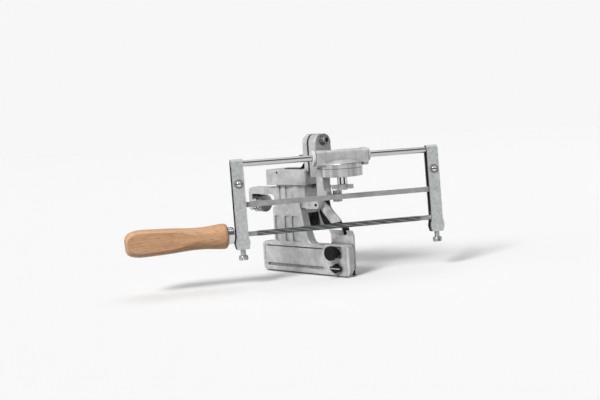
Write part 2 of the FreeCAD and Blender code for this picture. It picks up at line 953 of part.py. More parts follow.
def pawl_lever():
    """The light plate in front of the pawl."""
    front = lever_front()
    shape = plate_xz([
        (pawl_x - 3.2, feed_z - 3.0, 2.4),
        (pawl_x + 12.6, feed_z - 18.5, 1.0),
        (pawl_x + 26.6, feed_z - 16.0, 1.2),
        (pawl_x + 11.6, feed_z - 3.0, 1.5),
        (pawl_x + 3.0, feed_z + 3.4, 2.4),
        (pawl_x - 3.2, feed_z + 3.4, 2.4),
    ], front, front + lever_t)
    return cut(shape, along_y(pawl_x, feed_z, front - 1, front + lever_t + 1,
                              pawl_pin_r + shaft_gap))


def biarc(start, start_way, end, end_way):
    """Two tangent arcs from one point and direction to another."""
    span = end - start
    ways = start_way + end_way
    bend = 2 * (1 - start_way.dot(end_way))
    across = span.dot(ways)
    reach = (-across + math.sqrt(across ** 2 + bend * span.dot(span))) / bend
    joint = (start + start_way * reach + end - end_way * reach) * 0.5
    return [arc_from(start, start_way, joint), arc_from(end, end_way * -1, joint)]


def arc_from(start, way, end):
    """The arc that leaves start in this direction and ends at end."""
    chord = end - start
    length = chord.Length
    chord.normalize()
    side = way - chord * way.dot(chord)
    side.normalize()
    angle = math.acos(max(-1.0, min(1.0, way.dot(chord))))
    middle = (start + end) * 0.5 + side * (length / 2 * math.tan(angle / 2))
    return Part.Arc(start, middle, end).toShape()


def pawl_spring():
    """The torsion spring round the pawl's hub: a helix of biarcs with two straight legs."""
    first = (lever_front() + lever_t + pawl_front - spring_turns * spring_pitch) / 2
    rise = spring_pitch / (2 * math.pi)

    def point(turn):
        angle = 2 * math.pi * turn
        return vec(pawl_x + spring_r * math.cos(angle), first + spring_pitch * turn,
                   feed_z + spring_r * math.sin(angle))

    def way(turn):
        angle = 2 * math.pi * turn
        return vec(-spring_r * math.sin(angle), rise, spring_r * math.cos(angle)).normalize()

    quarters = int(spring_turns * 4)
    edges = [Part.LineSegment(point(0) - way(0) * spring_leg, point(0)).toShape()]
    for i in range(quarters):
        here = i / 4
        after = (i + 1) / 4
        edges.extend(biarc(point(here), way(here), point(after), way(after)))
    last = quarters / 4
    edges.append(Part.LineSegment(point(last), point(last) + way(last) * spring_leg).toShape())
    path = Part.Wire(Part.__sortEdges__(edges))
    start = point(0) - way(0) * spring_leg
    profile = Part.Wire(Part.makeCircle(spring_wire / 2, start, way(0)))
    report_spring(point, quarters)
    return path.makePipeShell([profile], True, False)


def report_spring(point, quarters):
    """Prints the least gap between one turn of the spring and the next."""
    steps = quarters * 8
    points = [point(i / 32) for i in range(steps + 1)]
    least = min((points[i] - points[j]).Length for i in range(steps + 1)
                for j in range(i + 20, steps + 1))
    print("pawl spring least gap to itself: %.2f mm" % (least - spring_wire))


# Swing arm and height stop


def swing_arm():
    plate = plate_yz(crown(arm_front, arm_back, disc_bottom), arm_left, plate_right)
    plate = soften(plate, cast_edge, 0, plate_right)
    disc = along_z(turn_x, turn_y, disc_bottom, disc_bottom + disc_thick, disc_r)
    disc = soften(disc, 0.6, 2, disc_bottom)
    web = box(plate_right - 2, turn_x - 8, arm_front + 3, arm_back - 1, disc_bottom,
              disc_bottom + disc_thick)
    leg = plate_xz([
        (leg_left, foot_bottom, 6.0),
        (foot_rail_right, foot_bottom, 0),
        (foot_rail_right, foot_rail_top, 1.2),
        (leg_right, foot_rail_top, leg_bend),
        (leg_right, disc_bottom + 2, 0),
        (leg_left, disc_bottom + 2, 0),
    ], arm_front, leg_back)
    leg = soften(leg, 0.7, 1, arm_front)
    nut_room = box(leg_right + 0.4, foot_rail_right + 1, foot_rail_back, leg_back + 1,
                   foot_bottom + foot_thick, foot_rail_top + 1)
    knee = box(arm_left, leg_right, arm_front, leg_back, disc_bottom, disc_bottom + disc_thick)
    shelf = plate_xy([
        (leg_right - 1, foot_rail_back - 1, 0),
        (foot_right, foot_rail_back - 1, 2.0),
        (foot_right, foot_back, 3.0),
        (leg_right - 1, foot_back, 3.0),
    ], foot_bottom, foot_bottom + foot_thick)
    shape = fuse(plate, disc, web, knee, cut(leg, nut_room), shelf)
    return cut(
        shape,
        along_x(pivot_y, pivot_z, arm_left - 1, plate_right + 1, pivot_r + shaft_gap),
        along_z(turn_x, turn_y, disc_bottom - 1, disc_bottom + disc_thick + 1, stud_r + shaft_gap),
        along_z(height_x, turn_y, foot_bottom - 1, foot_bottom + foot_thick + 1,
                height_pin_r + shaft_gap),
    )


def knurled(low, high, bore_r):
    """A round nut with fluted sides on the height pin's axis."""
    nut = along_z(height_x, turn_y, low, high, height_nut_r)
    flute = along_z(height_x + height_nut_r, turn_y, low - 1, high + 1, height_flute_r)
    flutes = ring_of(flute, vec(height_x, turn_y, 0), vec(0, 0, 1), height_flutes)
    return cut(nut, along_z(height_x, turn_y, low - 1, high + 1, bore_r), *flutes)


def height_nut():
    low = foot_bottom + foot_thick + height_gap
    return knurled(low, low + height_nut_t, height_pin_r + shaft_gap)


def height_lock():
    """The lower nut that stays on the pin."""
    high = foot_bottom - height_gap
    return knurled(high - height_lock_t, high, height_pin_r)


def height_pin():
    pin = along_z(height_x, turn_y, height_pin_low, height_pin_top, height_pin_r)
    return soften(pin, 1.2, 2, height_pin_top)


# Turntable


def dish_bottom():
    return disc_bottom + disc_thick + run_gap


def to_rod(shape):
    """Places a shape drawn along X, with the rod's centre at the origin, on the turntable."""
    place = FreeCAD.Placement(vec(turn_x, turn_y, rod_z), FreeCAD.Rotation(vec(0, 0, 1), file_angle))
    shape.Placement = place.multiply(shape.Placement)
    return shape


def to_frame(shape):
    """Places a shape drawn upright under the rod, leaning with the frame."""
    shape.Placement = FreeCAD.Placement(vec(0, 0, 0), FreeCAD.Rotation(vec(1, 0, 0), -lean)).multiply(
        shape.Placement)
    return to_rod(shape)


def guide_body():
    dish = along_z(0, 0, dish_bottom() - rod_z, dish_bottom() + dish_thick - rod_z, disc_r)
    top = dish_bottom() + dish_thick - rod_z
    dish = soften(dish, dish_edge, 2, top)
    dome = Part.makeCone(dome_foot_r, dome_r, dome_rise, vec(0, 0, top), vec(0, 0, 1))
    low = top - 1
    barrel = plate_yz([
        (-barrel_half, low, 0),
        (barrel_half, low, 0),
        (barrel_half, barrel_half, barrel_round),
        (-barrel_half, barrel_half, barrel_round),
    ], barrel_start, barrel_end)
    shape = fuse(fuse(dish, dome), barrel)
    for start, end in ((collar_start, barrel_start), (barrel_end, collar_end)):
        collar = plate_yz([
            (-collar_half, collar_low + 2.5, 0),
            (-collar_half + collar_chamfer, collar_low, 0),
            (collar_half - collar_chamfer, collar_low, 0),
            (collar_half, collar_low + 2.5, 0),
            (collar_half, collar_high - collar_chamfer, 0),
            (collar_half - collar_chamfer, collar_high, 0),
            (-collar_half + collar_chamfer, collar_high, 0),
            (-collar_half, collar_high - collar_chamfer, 0),
        ], start, end)
        shape = fuse(shape, collar)
    bore = along_x(0, 0, collar_start - 1, collar_end + 1, bush_r + shaft_gap)
    head = along_z(0, 0, dish_bottom() - rod_z - 1, stud_top() - rod_z, stud_head_r)
    stem = along_z(0, 0, dish_bottom() - rod_z - 1, stud_top() - rod_z, stud_r)
    return to_rod(cut(shape, bore, fuse(head, stem)))


def stud_top():
    return dish_bottom() + stud_head_t


def clamp_stud():
    head = along_z(turn_x, turn_y, dish_bottom(), stud_top(), stud_head_r)
    stem = along_z(turn_x, turn_y, wing_nut_low - 0.2, stud_top() - 0.5, stud_r)
    return fuse(head, stem)


def clamp_hub():
    """The bright spacer under the disc, slotted down its sides."""
    low = wing_nut_high + hub_gap
    top = disc_bottom - hub_gap
    hub = along_z(turn_x, turn_y, low, top, hub_r)
    slot = box(turn_x + hub_r - hub_slot_depth, turn_x + hub_r + 1, turn_y - hub_slot / 2,
               turn_y + hub_slot / 2, low - 1, top + 1)
    slots = ring_of(slot, vec(turn_x, turn_y, 0), vec(0, 0, 1), hub_slots)
    return cut(hub, along_z(turn_x, turn_y, low - 1, top + 1, stud_r), *slots)


def wing_nut():
    hub = along_z(turn_x, turn_y, wing_nut_low, wing_nut_high, wing_nut_r)
    wings = plate_xy([
        (-wing_nut_span, -wing_nut_t / 2 - 1.0, 1.8),
        (0, -wing_nut_t / 2, 0),
        (wing_nut_span, -wing_nut_t / 2 - 1.0, 1.8),
        (wing_nut_span, wing_nut_t / 2 + 1.0, 1.8),
        (0, wing_nut_t / 2, 0),
        (-wing_nut_span, wing_nut_t / 2 + 1.0, 1.8),
    ], wing_nut_low + 0.8, wing_nut_high - 0.4)
    wings.rotate(vec(0, 0, 0), vec(0, 0, 1), file_angle - 20)
    wings.translate(vec(turn_x, turn_y, 0))
    shape = fuse(hub, wings)
    return cut(shape, along_z(turn_x, turn_y, wing_nut_low - 1, wing_nut_high + 1,
                              stud_r + shaft_gap))


def bush(face, way, flange_r, flange_t):
    """A nylon bush whose flange lies outside the collar's face."""
    near = face + way * bush_flange
    far = near + way * flange_t
    inner = face - way * bush_length
    flange = along_x(0, 0, min(near, far), max(near, far), flange_r)
    flange = soften(flange, 0.6, 0, far)
    tube = along_x(0, 0, min(inner, near), max(inner, near), bush_r)
    hole = along_x(0, 0, min(inner, far) - 1, max(inner, far) + 1, rod_r + shaft_gap)
    return to_rod(cut(fuse(flange, tube), hole))


def left_bush():
    return bush(collar_start, -1, left_flange_r, left_flange_t)


def right_bush():
    return bush(collar_end, 1, right_flange_r, right_flange_t)


# Filing frame


def guide_rod():
    start = left_arm - arm_width / 2 + rod_short
    end = right_arm + arm_width / 2 - rod_short
    shape = along_x(0, 0, start, end, rod_r)
    shape = soften(shape, 0.5, 0, start)
    return to_frame(soften(shape, 0.5, 0, end))


def strap(middle):
    """A hairpin of strip steel bent over the rod, its legs widened round the screw block."""
    half = arm_width / 2
    outer = rod_r + strap_t
    bulge = bulge_half
    outline = [
        (-half, -strap_drop, 1.0),
        (half, -strap_drop, 1.0),
        (bulge, -bulge_drop, 1.0),
        (half, -bulge_drop + bulge_rise, 1.5),
        (half, outer + 1, 0),
        (-half, outer + 1, 0),
        (-half, -bulge_drop + bulge_rise, 1.5),
        (-bulge, -bulge_drop, 1.0),
    ]
    blank = plate_xz(outline, -outer, outer)
    section = fuse(along_x(0, 0, -2 * half, 2 * half, outer),
                   box(-2 * half, 2 * half, -outer, outer, -strap_drop - 1, 0))
    inside = fuse(along_x(0, 0, -2 * half, 2 * half, rod_r),
                  box(-2 * half, 2 * half, -rod_r, rod_r, -strap_drop - 2, 0))
    shape = blank.common(cut(section, inside))
    shape = cut(shape, along_y(0, -pinch_drop, -outer - 1, outer + 1, pinch_r),
                along_y(0, -bar_drop, -outer - 1, outer + 1, rivet_r))
    for side in (-1, 1):
        y = side * (outer - crease_depth)
        crease = box(-2 * half, 2 * half, min(y, y + side), max(y, y + side),
                     -crease_drop - crease_half, -crease_drop + crease_half)
        shape = cut(shape, crease)
    shape.translate(vec(middle, 0, 0))
    return to_frame(shape)


def left_strap():
    return strap(left_arm)


def right_strap():
    return strap(right_arm)


def pair(make):
    """The same piece at both arms, as one group."""
    pieces = []
    for middle in (left_arm, right_arm):
        piece = make()
        piece.translate(vec(middle, 0, 0))
        pieces.append(to_frame(piece))
    return Part.makeCompound(pieces)


def pinch_screw():
    outer = rod_r + strap_t
    head_end = -outer - pinch_washer_t
    head = along_y(0, -pinch_drop, head_end - pinch_head_t, head_end, pinch_head_r)
    head = soften(head, 0.8, 1, head_end - pinch_head_t)
    slot = box(-pinch_head_r - 1, pinch_head_r + 1, head_end - pinch_head_t - 1,
               head_end - pinch_head_t + pinch_slot, -pinch_drop - pinch_slot / 2,
               -pinch_drop + pinch_slot / 2)
    stem = along_y(0, -pinch_drop, head_end - 0.5, outer + pinch_nut_t + 0.8, pinch_r)
    return cut(fuse(head, stem), slot)


def pinch_washer():
    outer = rod_r + strap_t
    washer = along_y(0, -pinch_drop, -outer - pinch_washer_t, -outer, pinch_washer_r)
    return cut(washer, along_y(0, -pinch_drop, -outer - 2, -outer + 1, pinch_r))


def pinch_nut():
    outer = rod_r + strap_t
    nut = hexagon(vec(0, outer, -pinch_drop), vec(0, 1, 0), pinch_nut_r * 2, pinch_nut_t)
    return cut(nut, along_y(0, -pinch_drop, outer - 1, outer + pinch_nut_t + 1, pinch_r))


def bar_rivet():
    outer = rod_r + strap_t
    return along_y(0, -bar_drop, -outer, outer, rivet_r)


def flat_bar():
    start = left_arm - arm_width / 2 + bar_inset
    end = right_arm + arm_width / 2 - bar_inset
    shape = box(start, end, -bar_thick / 2, bar_thick / 2, -bar_drop - bar_height / 2,
                -bar_drop + bar_height / 2)
    for middle in (left_arm, right_arm):
        shape = cut(shape, along_y(middle, -bar_drop, -bar_thick, bar_thick, rivet_r))
    return to_frame(shape)


def file_saddle():
    """The block above the file's shank with a half-round seat in its underside."""
    half = arm_width / 2 - saddle_inset
    shape = box(-half, half, -rod_r, rod_r, -file_drop, -file_drop + saddle_height)
    return cut(shape, along_x(0, -file_drop, -half - 1, half + 1, shank_r + shaft_gap))


def screw_block():
    half = arm_width / 2 - screw_block_inset
    shape = box(-half, half, -rod_r, rod_r, -screw_block_low, -screw_block_top)
    return cut(shape, along_z(0, 0, -screw_block_low - 1, -screw_block_top + 1,
                              clamp_screw_r + shaft_gap))


def clamp_screw(middle):
    """The thumb screw that presses the file's shank up into its saddle."""
    tip = -file_drop - shank_r - clamp_tip_gap
    thread = along_z(0, 0, -strap_drop - 1, tip, clamp_screw_r)
    neck_part = along_z(0, 0, -clamp_neck_drop, -strap_drop - run_gap, clamp_neck_r)
    head = along_z(0, 0, -clamp_head_drop, -clamp_neck_drop, clamp_head_r)
    head = soften(head, clamp_head_edge, 2, -clamp_head_drop)
    head = soften(head, clamp_head_edge, 2, -clamp_neck_drop)
    slot = box(-clamp_slot / 2, clamp_slot / 2, -clamp_head_r - 1, clamp_head_r + 1,
               -clamp_head_drop - 1, -clamp_head_drop + clamp_slot_depth)
    shape = cut(fuse(thread, neck_part, head), slot)
    shape.translate(vec(middle, 0, 0))
    return to_frame(shape)


def left_clamp_screw():
    return clamp_screw(left_arm)


def right_clamp_screw():
    return clamp_screw(right_arm)


# File and handle


def round_file():
    body = along_x(0, -file_drop, cut_start, cut_end, file_r)
    shank = along_x(0, -file_drop, tang_end, file_end, shank_r)
    shape = fuse(body, shank)
    return to_frame(soften(shape, 0.5, 0, file_end))


def handle_ferrule():
    cup = along_x(0, -file_drop, handle_front, ferrule_front, ferrule_r)
    cup = soften(cup, 1.2, 0, ferrule_front)
    inside = along_x(0, -file_drop, handle_front - 1, ferrule_front - ferrule_t,
                     ferrule_r - ferrule_t)
    hole = along_x(0, -file_drop, handle_front - 1, ferrule_front + 1, shank_r)
    return to_frame(cut(cup, inside, hole))


def facet_cutter():
    """The tool for the grip's flat: a plane from the rear end, then an arc that runs out of the wood."""
    wide = 3 * handle_max_r
    back = handle_front - handle_length - 1
    start, end = handle_front - facet_run, handle_front - facet_end
    rise = handle_waist_r + facet_clear - handle_facet
    radius = ((end - start) ** 2 + rise ** 2) / (2 * rise)
    middle = (start + end) / 2
    sag = radius - math.sqrt(radius ** 2 - (middle - start) ** 2)
    edges = [
        Part.LineSegment(vec(back, -handle_facet, 0), vec(start, -handle_facet, 0)).toShape(),
        Part.Arc(vec(start, -handle_facet, 0), vec(middle, -handle_facet - sag, 0),
                 vec(end, -handle_facet - rise, 0)).toShape(),
        Part.LineSegment(vec(end, -handle_facet - rise, 0), vec(end, -wide, 0)).toShape(),
        Part.LineSegment(vec(end, -wide, 0), vec(back, -wide, 0)).toShape(),
        Part.LineSegment(vec(back, -wide, 0), vec(back, -handle_facet, 0)).toShape(),
    ]
    face = Part.Face(Part.Wire(edges))
    face.translate(vec(0, 0, -wide))
    return face.extrude(vec(0, 0, 2 * wide))


def file_handle():
    """A turned grip: full front edge, waist, palm swell, and a flat on the near side."""
    nose = along_x(0, 0, handle_front - 1, ferrule_front - ferrule_t, ferrule_r - ferrule_t)
    side = [
        vec(handle_round, handle_front_r, 0),
        vec(handle_waist * 0.45, (handle_front_r + handle_waist_r) / 2, 0),
        vec(handle_waist, handle_waist_r, 0),
        vec((handle_waist + handle_max) / 2, (handle_waist_r + handle_max_r) / 2 + 0.3, 0),
        vec(handle_max, handle_max_r, 0),
        vec(handle_length - 6, handle_max_r * 0.92, 0),
        vec(handle_length - 2, handle_max_r * 0.76, 0),
        vec(handle_length, handle_tip_r, 0),
    ]
    curve = Part.BSplineCurve()
    curve.interpolate(Points=side, InitialTangent=vec(1, 0, 0), FinalTangent=vec(0, -1, 0))
    shoulder = handle_front_r - handle_round
    turn = handle_round * (1 - math.sqrt(0.5))
    edges = [
        curve.toShape(),
        Part.LineSegment(side[-1], vec(handle_length, 0, 0)).toShape(),
        Part.LineSegment(vec(handle_length, 0, 0), vec(0, 0, 0)).toShape(),
        Part.LineSegment(vec(0, 0, 0), vec(0, shoulder, 0)).toShape(),
        Part.Arc(vec(0, shoulder, 0), vec(turn, handle_front_r - turn, 0), side[0]).toShape(),
    ]
    grip = Part.Face(Part.Wire(Part.__sortEdges__(edges))).revolve(vec(0, 0, 0), vec(1, 0, 0), 360)
    grip.rotate(vec(0, 0, 0), vec(0, 0, 1), 180)
    grip.translate(vec(handle_front, 0, 0))
    shape = cut(fuse(grip, nose), facet_cutter())
    shape = cut(shape, along_x(0, 0, tang_end, ferrule_front + 1, shank_r))
    shape.translate(vec(0, 0, -file_drop))
    return to_frame(shape)


# Every piece under the name of its file

pieces = {
    "clamp_body": clamp_body,
    "fixed_jaw_plate": fixed_jaw_plate,
    "jaw_plate_screws": jaw_plate_screws,
    "latch_spring": latch_spring,
    "block_pin": block_pin,
    "pivot_screw": pivot_screw,
    "pivot_washers": pivot_washers,
    "spring_washer": spring_washer,
    "arm_stop_pin": arm_stop_pin,
    "pressure_plate": pressure_plate,
    "guide_pins": guide_pins,
    "plate_foot": plate_foot,
    "upper_knob": upper_knob,
    "upper_spindle": upper_spindle,
    "lower_wing": lower_wing,
    "wing_bar": wing_bar,
    "lower_spindle": lower_spindle,
    "feed_wheel": feed_wheel,
    "feed_spindle": feed_spindle,
    "spindle_clip": spindle_clip,
    "stop_carriage": stop_carriage,
    "pawl_pin": pawl_pin,
    "stop_pawl": stop_pawl,
    "pawl_lever": pawl_lever,
    "pawl_spring": pawl_spring,
    "swing_arm": swing_arm,
    "height_nut": height_nut,
    "height_lock": height_lock,
    "height_pin": height_pin,
    "guide_body": guide_body,
    "clamp_stud": clamp_stud,
    "clamp_hub": clamp_hub,
    "wing_nut": wing_nut,
    "left_bush": left_bush,
    "right_bush": right_bush,
    "guide_rod": guide_rod,
    "left_strap": left_strap,
    "right_strap": right_strap,
    "flat_bar": flat_bar,
    "bar_rivets": lambda: pair(bar_rivet),
    "pinch_screws": lambda: pair(pinch_screw),
    "pinch_washers": lambda: pair(pinch_washer),
    "pinch_nuts": lambda: pair(pinch_nut),
    "file_saddles": lambda: pair(file_saddle),
    "screw_blocks": lambda: pair(screw_block),
    "left_clamp_screw": left_clamp_screw,
    "right_clamp_screw": right_clamp_screw,
    "round_file": round_file,
    "handle_ferrule": handle_ferrule,
    "file_handle": file_handle,
}

os.makedirs("parts", exist_ok=True)
for name, make in pieces.items():
    shape = make()
    shape.exportStep("parts/" + name + ".step")
    print("%-20s solids %d volume %9.1f valid %s"
          % (name, len(shape.Solids), shape.Volume, shape.isValid()))
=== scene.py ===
# %% [markdown]
# # A bar-mounted chainsaw sharpener
#
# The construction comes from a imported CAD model: a clamp casting, a swing arm with a turntable, and a
# filing frame with a rod, two pressed arms, a flat bar, a round file and a beech handle. This script
# gives every surface its finish, and models anew the few pieces whose shape needs more than CAD gives:
# the file's teeth, the slotted sleeve and the turned handle with its flat.
#
# Everything is in metres, in the same frame as the CAD. The frame is loaded first, and its box is kept,
# because the finished model has to fill the same box.

# %% Load the frame
import bpy
import json
import math
from mathutils import Matrix, Vector
from mathutils.bvhtree import BVHTree

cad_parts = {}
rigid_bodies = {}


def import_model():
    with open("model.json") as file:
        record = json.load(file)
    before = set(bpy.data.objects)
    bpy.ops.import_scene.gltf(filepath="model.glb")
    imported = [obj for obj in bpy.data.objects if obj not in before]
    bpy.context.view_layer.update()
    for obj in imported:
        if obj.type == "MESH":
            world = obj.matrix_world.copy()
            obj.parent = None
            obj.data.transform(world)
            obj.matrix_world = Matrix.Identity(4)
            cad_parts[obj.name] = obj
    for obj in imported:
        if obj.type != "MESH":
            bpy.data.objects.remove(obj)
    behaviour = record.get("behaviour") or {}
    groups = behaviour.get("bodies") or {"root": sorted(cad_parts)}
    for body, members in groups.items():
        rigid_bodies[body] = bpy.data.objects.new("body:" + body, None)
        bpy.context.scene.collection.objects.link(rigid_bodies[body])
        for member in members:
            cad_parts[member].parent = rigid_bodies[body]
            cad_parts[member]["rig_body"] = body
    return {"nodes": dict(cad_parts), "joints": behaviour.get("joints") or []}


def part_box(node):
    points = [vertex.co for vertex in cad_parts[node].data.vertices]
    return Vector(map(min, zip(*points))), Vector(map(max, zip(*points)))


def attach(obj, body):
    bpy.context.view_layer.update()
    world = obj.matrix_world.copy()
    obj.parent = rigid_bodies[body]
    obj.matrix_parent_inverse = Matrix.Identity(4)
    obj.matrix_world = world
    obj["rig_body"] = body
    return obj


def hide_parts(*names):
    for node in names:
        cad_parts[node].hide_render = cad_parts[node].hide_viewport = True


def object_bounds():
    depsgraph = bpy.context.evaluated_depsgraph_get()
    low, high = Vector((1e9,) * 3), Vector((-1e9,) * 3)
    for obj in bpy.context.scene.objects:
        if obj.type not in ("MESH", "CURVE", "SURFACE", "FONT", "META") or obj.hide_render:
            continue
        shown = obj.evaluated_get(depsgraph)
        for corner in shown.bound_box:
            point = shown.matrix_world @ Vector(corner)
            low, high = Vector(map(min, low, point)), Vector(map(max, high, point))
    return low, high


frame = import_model()
cad_low, cad_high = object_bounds()
nodes = frame["nodes"]
joints = {joint["name"]: joint for joint in frame["joints"]}
mm = 0.001
print("CAD box in mm:", [round((b - a) / mm, 1) for a, b in zip(cad_low, cad_high)])

# %% [markdown]
# ## Camera
#
# The camera stands in front of the user's right hand, a little above the tool, with a long lens, so
# that the jaws look nearly parallel. The camera is held slightly askew, and that is a roll about its
# own line of sight, added after it is aimed.

# %% Camera
camera_place = Vector((0.7447, -0.7609, 0.1545))
camera_aim = Vector((-0.0428, 0.0009, 0.0568))
camera_roll = math.radians(-3.61)
camera_lens = 64.62
sensor_width = 36.0


def add_camera():
    data = bpy.data.cameras.new("camera")
    data.lens = camera_lens
    data.sensor_width = sensor_width
    camera = bpy.data.objects.new("camera", data)
    bpy.context.scene.collection.objects.link(camera)
    aimed = (camera_aim - camera_place).to_track_quat("-Z", "Y").to_matrix().to_4x4()
    roll = Matrix.Rotation(camera_roll, 4, "Z")
    camera.matrix_world = Matrix.Translation(camera_place) @ aimed @ roll
    bpy.context.scene.camera = camera


add_camera()
print("camera stands %.2f m from its aim" % (camera_aim - camera_place).length)

# %% [markdown]
# ## Node helpers
#
# A material is a tree of nodes. Written out in full, each node takes several lines, so one short
# helper adds a node and fills its inputs. An input is either a plain value or the output of another
# node, and the helper tells them apart.

# %% Node helpers


def place(tree, kind, inputs=None, **settings):
    """Adds a node. Each input is a plain value or the output of another node."""
    node = tree.nodes.new(kind)
    for name, value in settings.items():
        setattr(node, name, value)
    for name, value in (inputs or {}).items():
        if isinstance(value, bpy.types.NodeSocket):
            tree.links.new(value, node.inputs[name])
        else:
            node.inputs[name].default_value = value
    return node


def math_node(tree, operation, first, second=0.0, clamp=False):
    node = place(tree, "ShaderNodeMath", {0: first, 1: second}, operation=operation)
    node.use_clamp = clamp
    return node.outputs[0]


def times(tree, first, second):
    return math_node(tree, "MULTIPLY", first, second)


def vector_node(tree, operation, first, second=None):
    """Vector math. A length or a dot product comes out as a value, the rest as a vector."""
    inputs = {0: first} if second is None else {0: first, 1: second}
    outputs = place(tree, "ShaderNodeVectorMath", inputs, operation=operation).outputs
    return outputs["Value" if operation in ("LENGTH", "DOT_PRODUCT") else "Vector"]


def split(tree, vector):
    return place(tree, "ShaderNodeSeparateXYZ", {0: vector}).outputs


def join(tree, **parts):
    return place(tree, "ShaderNodeCombineXYZ", parts).outputs[0]


def blend_colour(tree, factor, first, second):
    """A mix of two colours by a factor that varies over the surface."""
    node = place(tree, "ShaderNodeMix", {0: factor, 6: first, 7: second}, data_type="RGBA")
    return node.outputs[2]


def cover(tree, tone, mask, share, colour):
    """Lays a colour over a tone where the mask is, up to this share."""
    return blend_colour(tree, times(tree, mask, share), tone, colour)


def blend_value(tree, factor, first, second):
    return place(tree, "ShaderNodeMix", {0: factor, 2: first, 3: second}).outputs[0]


def blend_normal(tree, factor, first, second):
    node = place(tree, "ShaderNodeMix", {0: factor, 4: first, 5: second}, data_type="VECTOR")
    return node.outputs[1]


def remap(tree, value, low, high, to_low=0.0, to_high=1.0):
    """Stretches low..high to to_low..to_high and holds the ends."""
    return place(tree, "ShaderNodeMapRange", {"Value": value, "From Min": low, "From Max": high,
                                              "To Min": to_low, "To Max": to_high}).outputs[0]


def spread(tree, mask, low, high):
    """Turns a mask from 0 to 1 into values from low to high."""
    return remap(tree, mask, 0.0, 1.0, low, high)


# %% [markdown]
# ## Colours, groups and materials
#
# Colours are written as they show on screen, and turned into the linear values that shaders use. A
# node group reads the place on the surface and a few numbers. A material starts with nothing but its
# shader: what is the same all over is set on the shader itself, and what varies is linked to it.

# %% Colours, groups and materials


def paint(red, green, blue):
    """A colour as it shows on screen, 0 to 255, turned into the linear values that shaders use."""
    linear = []
    for level in (red, green, blue):
        share = level / 255
        linear.append(share / 12.92 if share <= 0.04045 else ((share + 0.055) / 1.055) ** 2.4)
    return (*linear, 1.0)


def grey(level):
    return paint(level, level, level)


def new_group(name, inputs, outputs):
    """A shader node group. It reads a place, Vector, and named numbers, and gives named outputs."""
    tree = bpy.data.node_groups.new(name, "ShaderNodeTree")
    tree.interface.new_socket(name="Vector", in_out="INPUT", socket_type="NodeSocketVector")
    for label, value in inputs.items():
        socket = tree.interface.new_socket(name=label, in_out="INPUT", socket_type="NodeSocketFloat")
        socket.default_value = value
    for label, kind in outputs.items():
        tree.interface.new_socket(name=label, in_out="OUTPUT", socket_type="NodeSocket" + kind)
    return tree, tree.nodes.new("NodeGroupInput").outputs, tree.nodes.new("NodeGroupOutput").inputs


def use(tree, group, **inputs):
    """Places a group in a material and returns its outputs."""
    named = {name.replace("_", " "): value for name, value in inputs.items()}
    return place(tree, "ShaderNodeGroup", named, node_tree=group).outputs


def empty_material(name):
    material = bpy.data.materials.new(name)
    material.use_nodes = True
    material.node_tree.nodes.clear()
    return material, material.node_tree


def start_material(name, **constants):
    """A material with only its Principled shader, whose constants are set straight on it."""
    material, tree = empty_material(name)
    shader = place(tree, "ShaderNodeBsdfPrincipled",
                   {key.replace("_", " "): value for key, value in constants.items()})
    place(tree, "ShaderNodeOutputMaterial", {"Surface": shader.outputs[0]})
    return material, tree, shader.inputs


def feed(tree, sockets, **values):
    """Links varying values to the sockets of a shader or of a group's output."""
    for name, value in values.items():
        tree.links.new(value, sockets[name.replace("_", " ")])


def bump(tree, height, depth, below=None):
    """Turns a height from 0 to 1 into a normal, where 1 stands this many metres proud."""
    inputs = {"Height": height, "Distance": depth, "Strength": 1.0}
    if below is not None:
        inputs["Normal"] = below
    return place(tree, "ShaderNodeBump", inputs).outputs[0]


print("a grey of 128 on screen is %.3f in linear light" % grey(128)[0])

# %% [markdown]
# ## Places and directions
#
# A pattern is drawn in the object's own coordinates, so that it moves with its piece. Which way a
# surface looks is measured in the same coordinates, and so it holds in every pose.

# %% Places and directions


def object_space(tree):
    return place(tree, "ShaderNodeTexCoord").outputs["Object"]


def within(tree, space, spot):
    """The spot in the coordinates of a space's node group."""
    return use(tree, space, Vector=spot)["Vector"]


def drawn_on(tree, attribute):
    """A mask from 0 to 1 that is kept on the mesh itself."""
    return place(tree, "ShaderNodeAttribute", attribute_name=attribute).outputs["Fac"]


def looks_along(tree, way):
    """How squarely the surface looks along this axis of the object, from -1 to 1."""
    normal = place(tree, "ShaderNodeTexCoord").outputs["Normal"]
    return vector_node(tree, "DOT_PRODUCT", normal, way)


def facing(tree, way):
    """The same for either way along the axis, from 0 to 1."""
    return math_node(tree, "ABSOLUTE", looks_along(tree, way))


# %% [markdown]
# ## Studio
#
# A product photograph on white needs three things: a pale floor that still takes the shadow, a pale
# wall behind it, and light that models the shapes. The key is a broad sun from the front, a little to
# the right, so that the faces towards the user and towards the camera are bright, and the faces that
# look along the bar fall into half shade. A weak wide fill from the left opens the shadows that the
# frame throws on the clamp. A third sun, so wide that it acts as a soft box overhead, draws the bright
# line along the top of the rods. A sun lights the floor evenly out to its edge, so floor and wall meet
# at one tone, which a lamp near the object can't do. The world is a plain dark grey, because much
# light from all round would wash out the inner corners.
#
# The wall is a ring far away. It shows its pale colour to the camera and to reflections, and gives the
# object only a little light of its own, because white light from all sides would flatten the metal.
# Further out, the floor fades into the wall's own glow, as a paper sweep does, so that no line shows.

# %% Studio
stage_radius = 6.0
wall_height = 1.7
floor_sides = 96
wall_level = 0.93
floor_albedo = 0.94
bounce_albedo = 0.3
world_level = 0.15
sun_strength = 2.8
sun_angle = math.radians(20)
sun_from = Vector((0.22, -1.0, 0.80))
top_strength = 0.86
top_angle = math.radians(60)
top_from = Vector((-0.1, 0.2, 1.0))
fill_strength = 0.62
fill_angle = math.radians(50)
fill_from = Vector((-0.5, -1.0, 0.25))
cove_start = 1.1
cove_end = 4.0
floor_gap = 0.2 * mm
floor_inner = 0.6


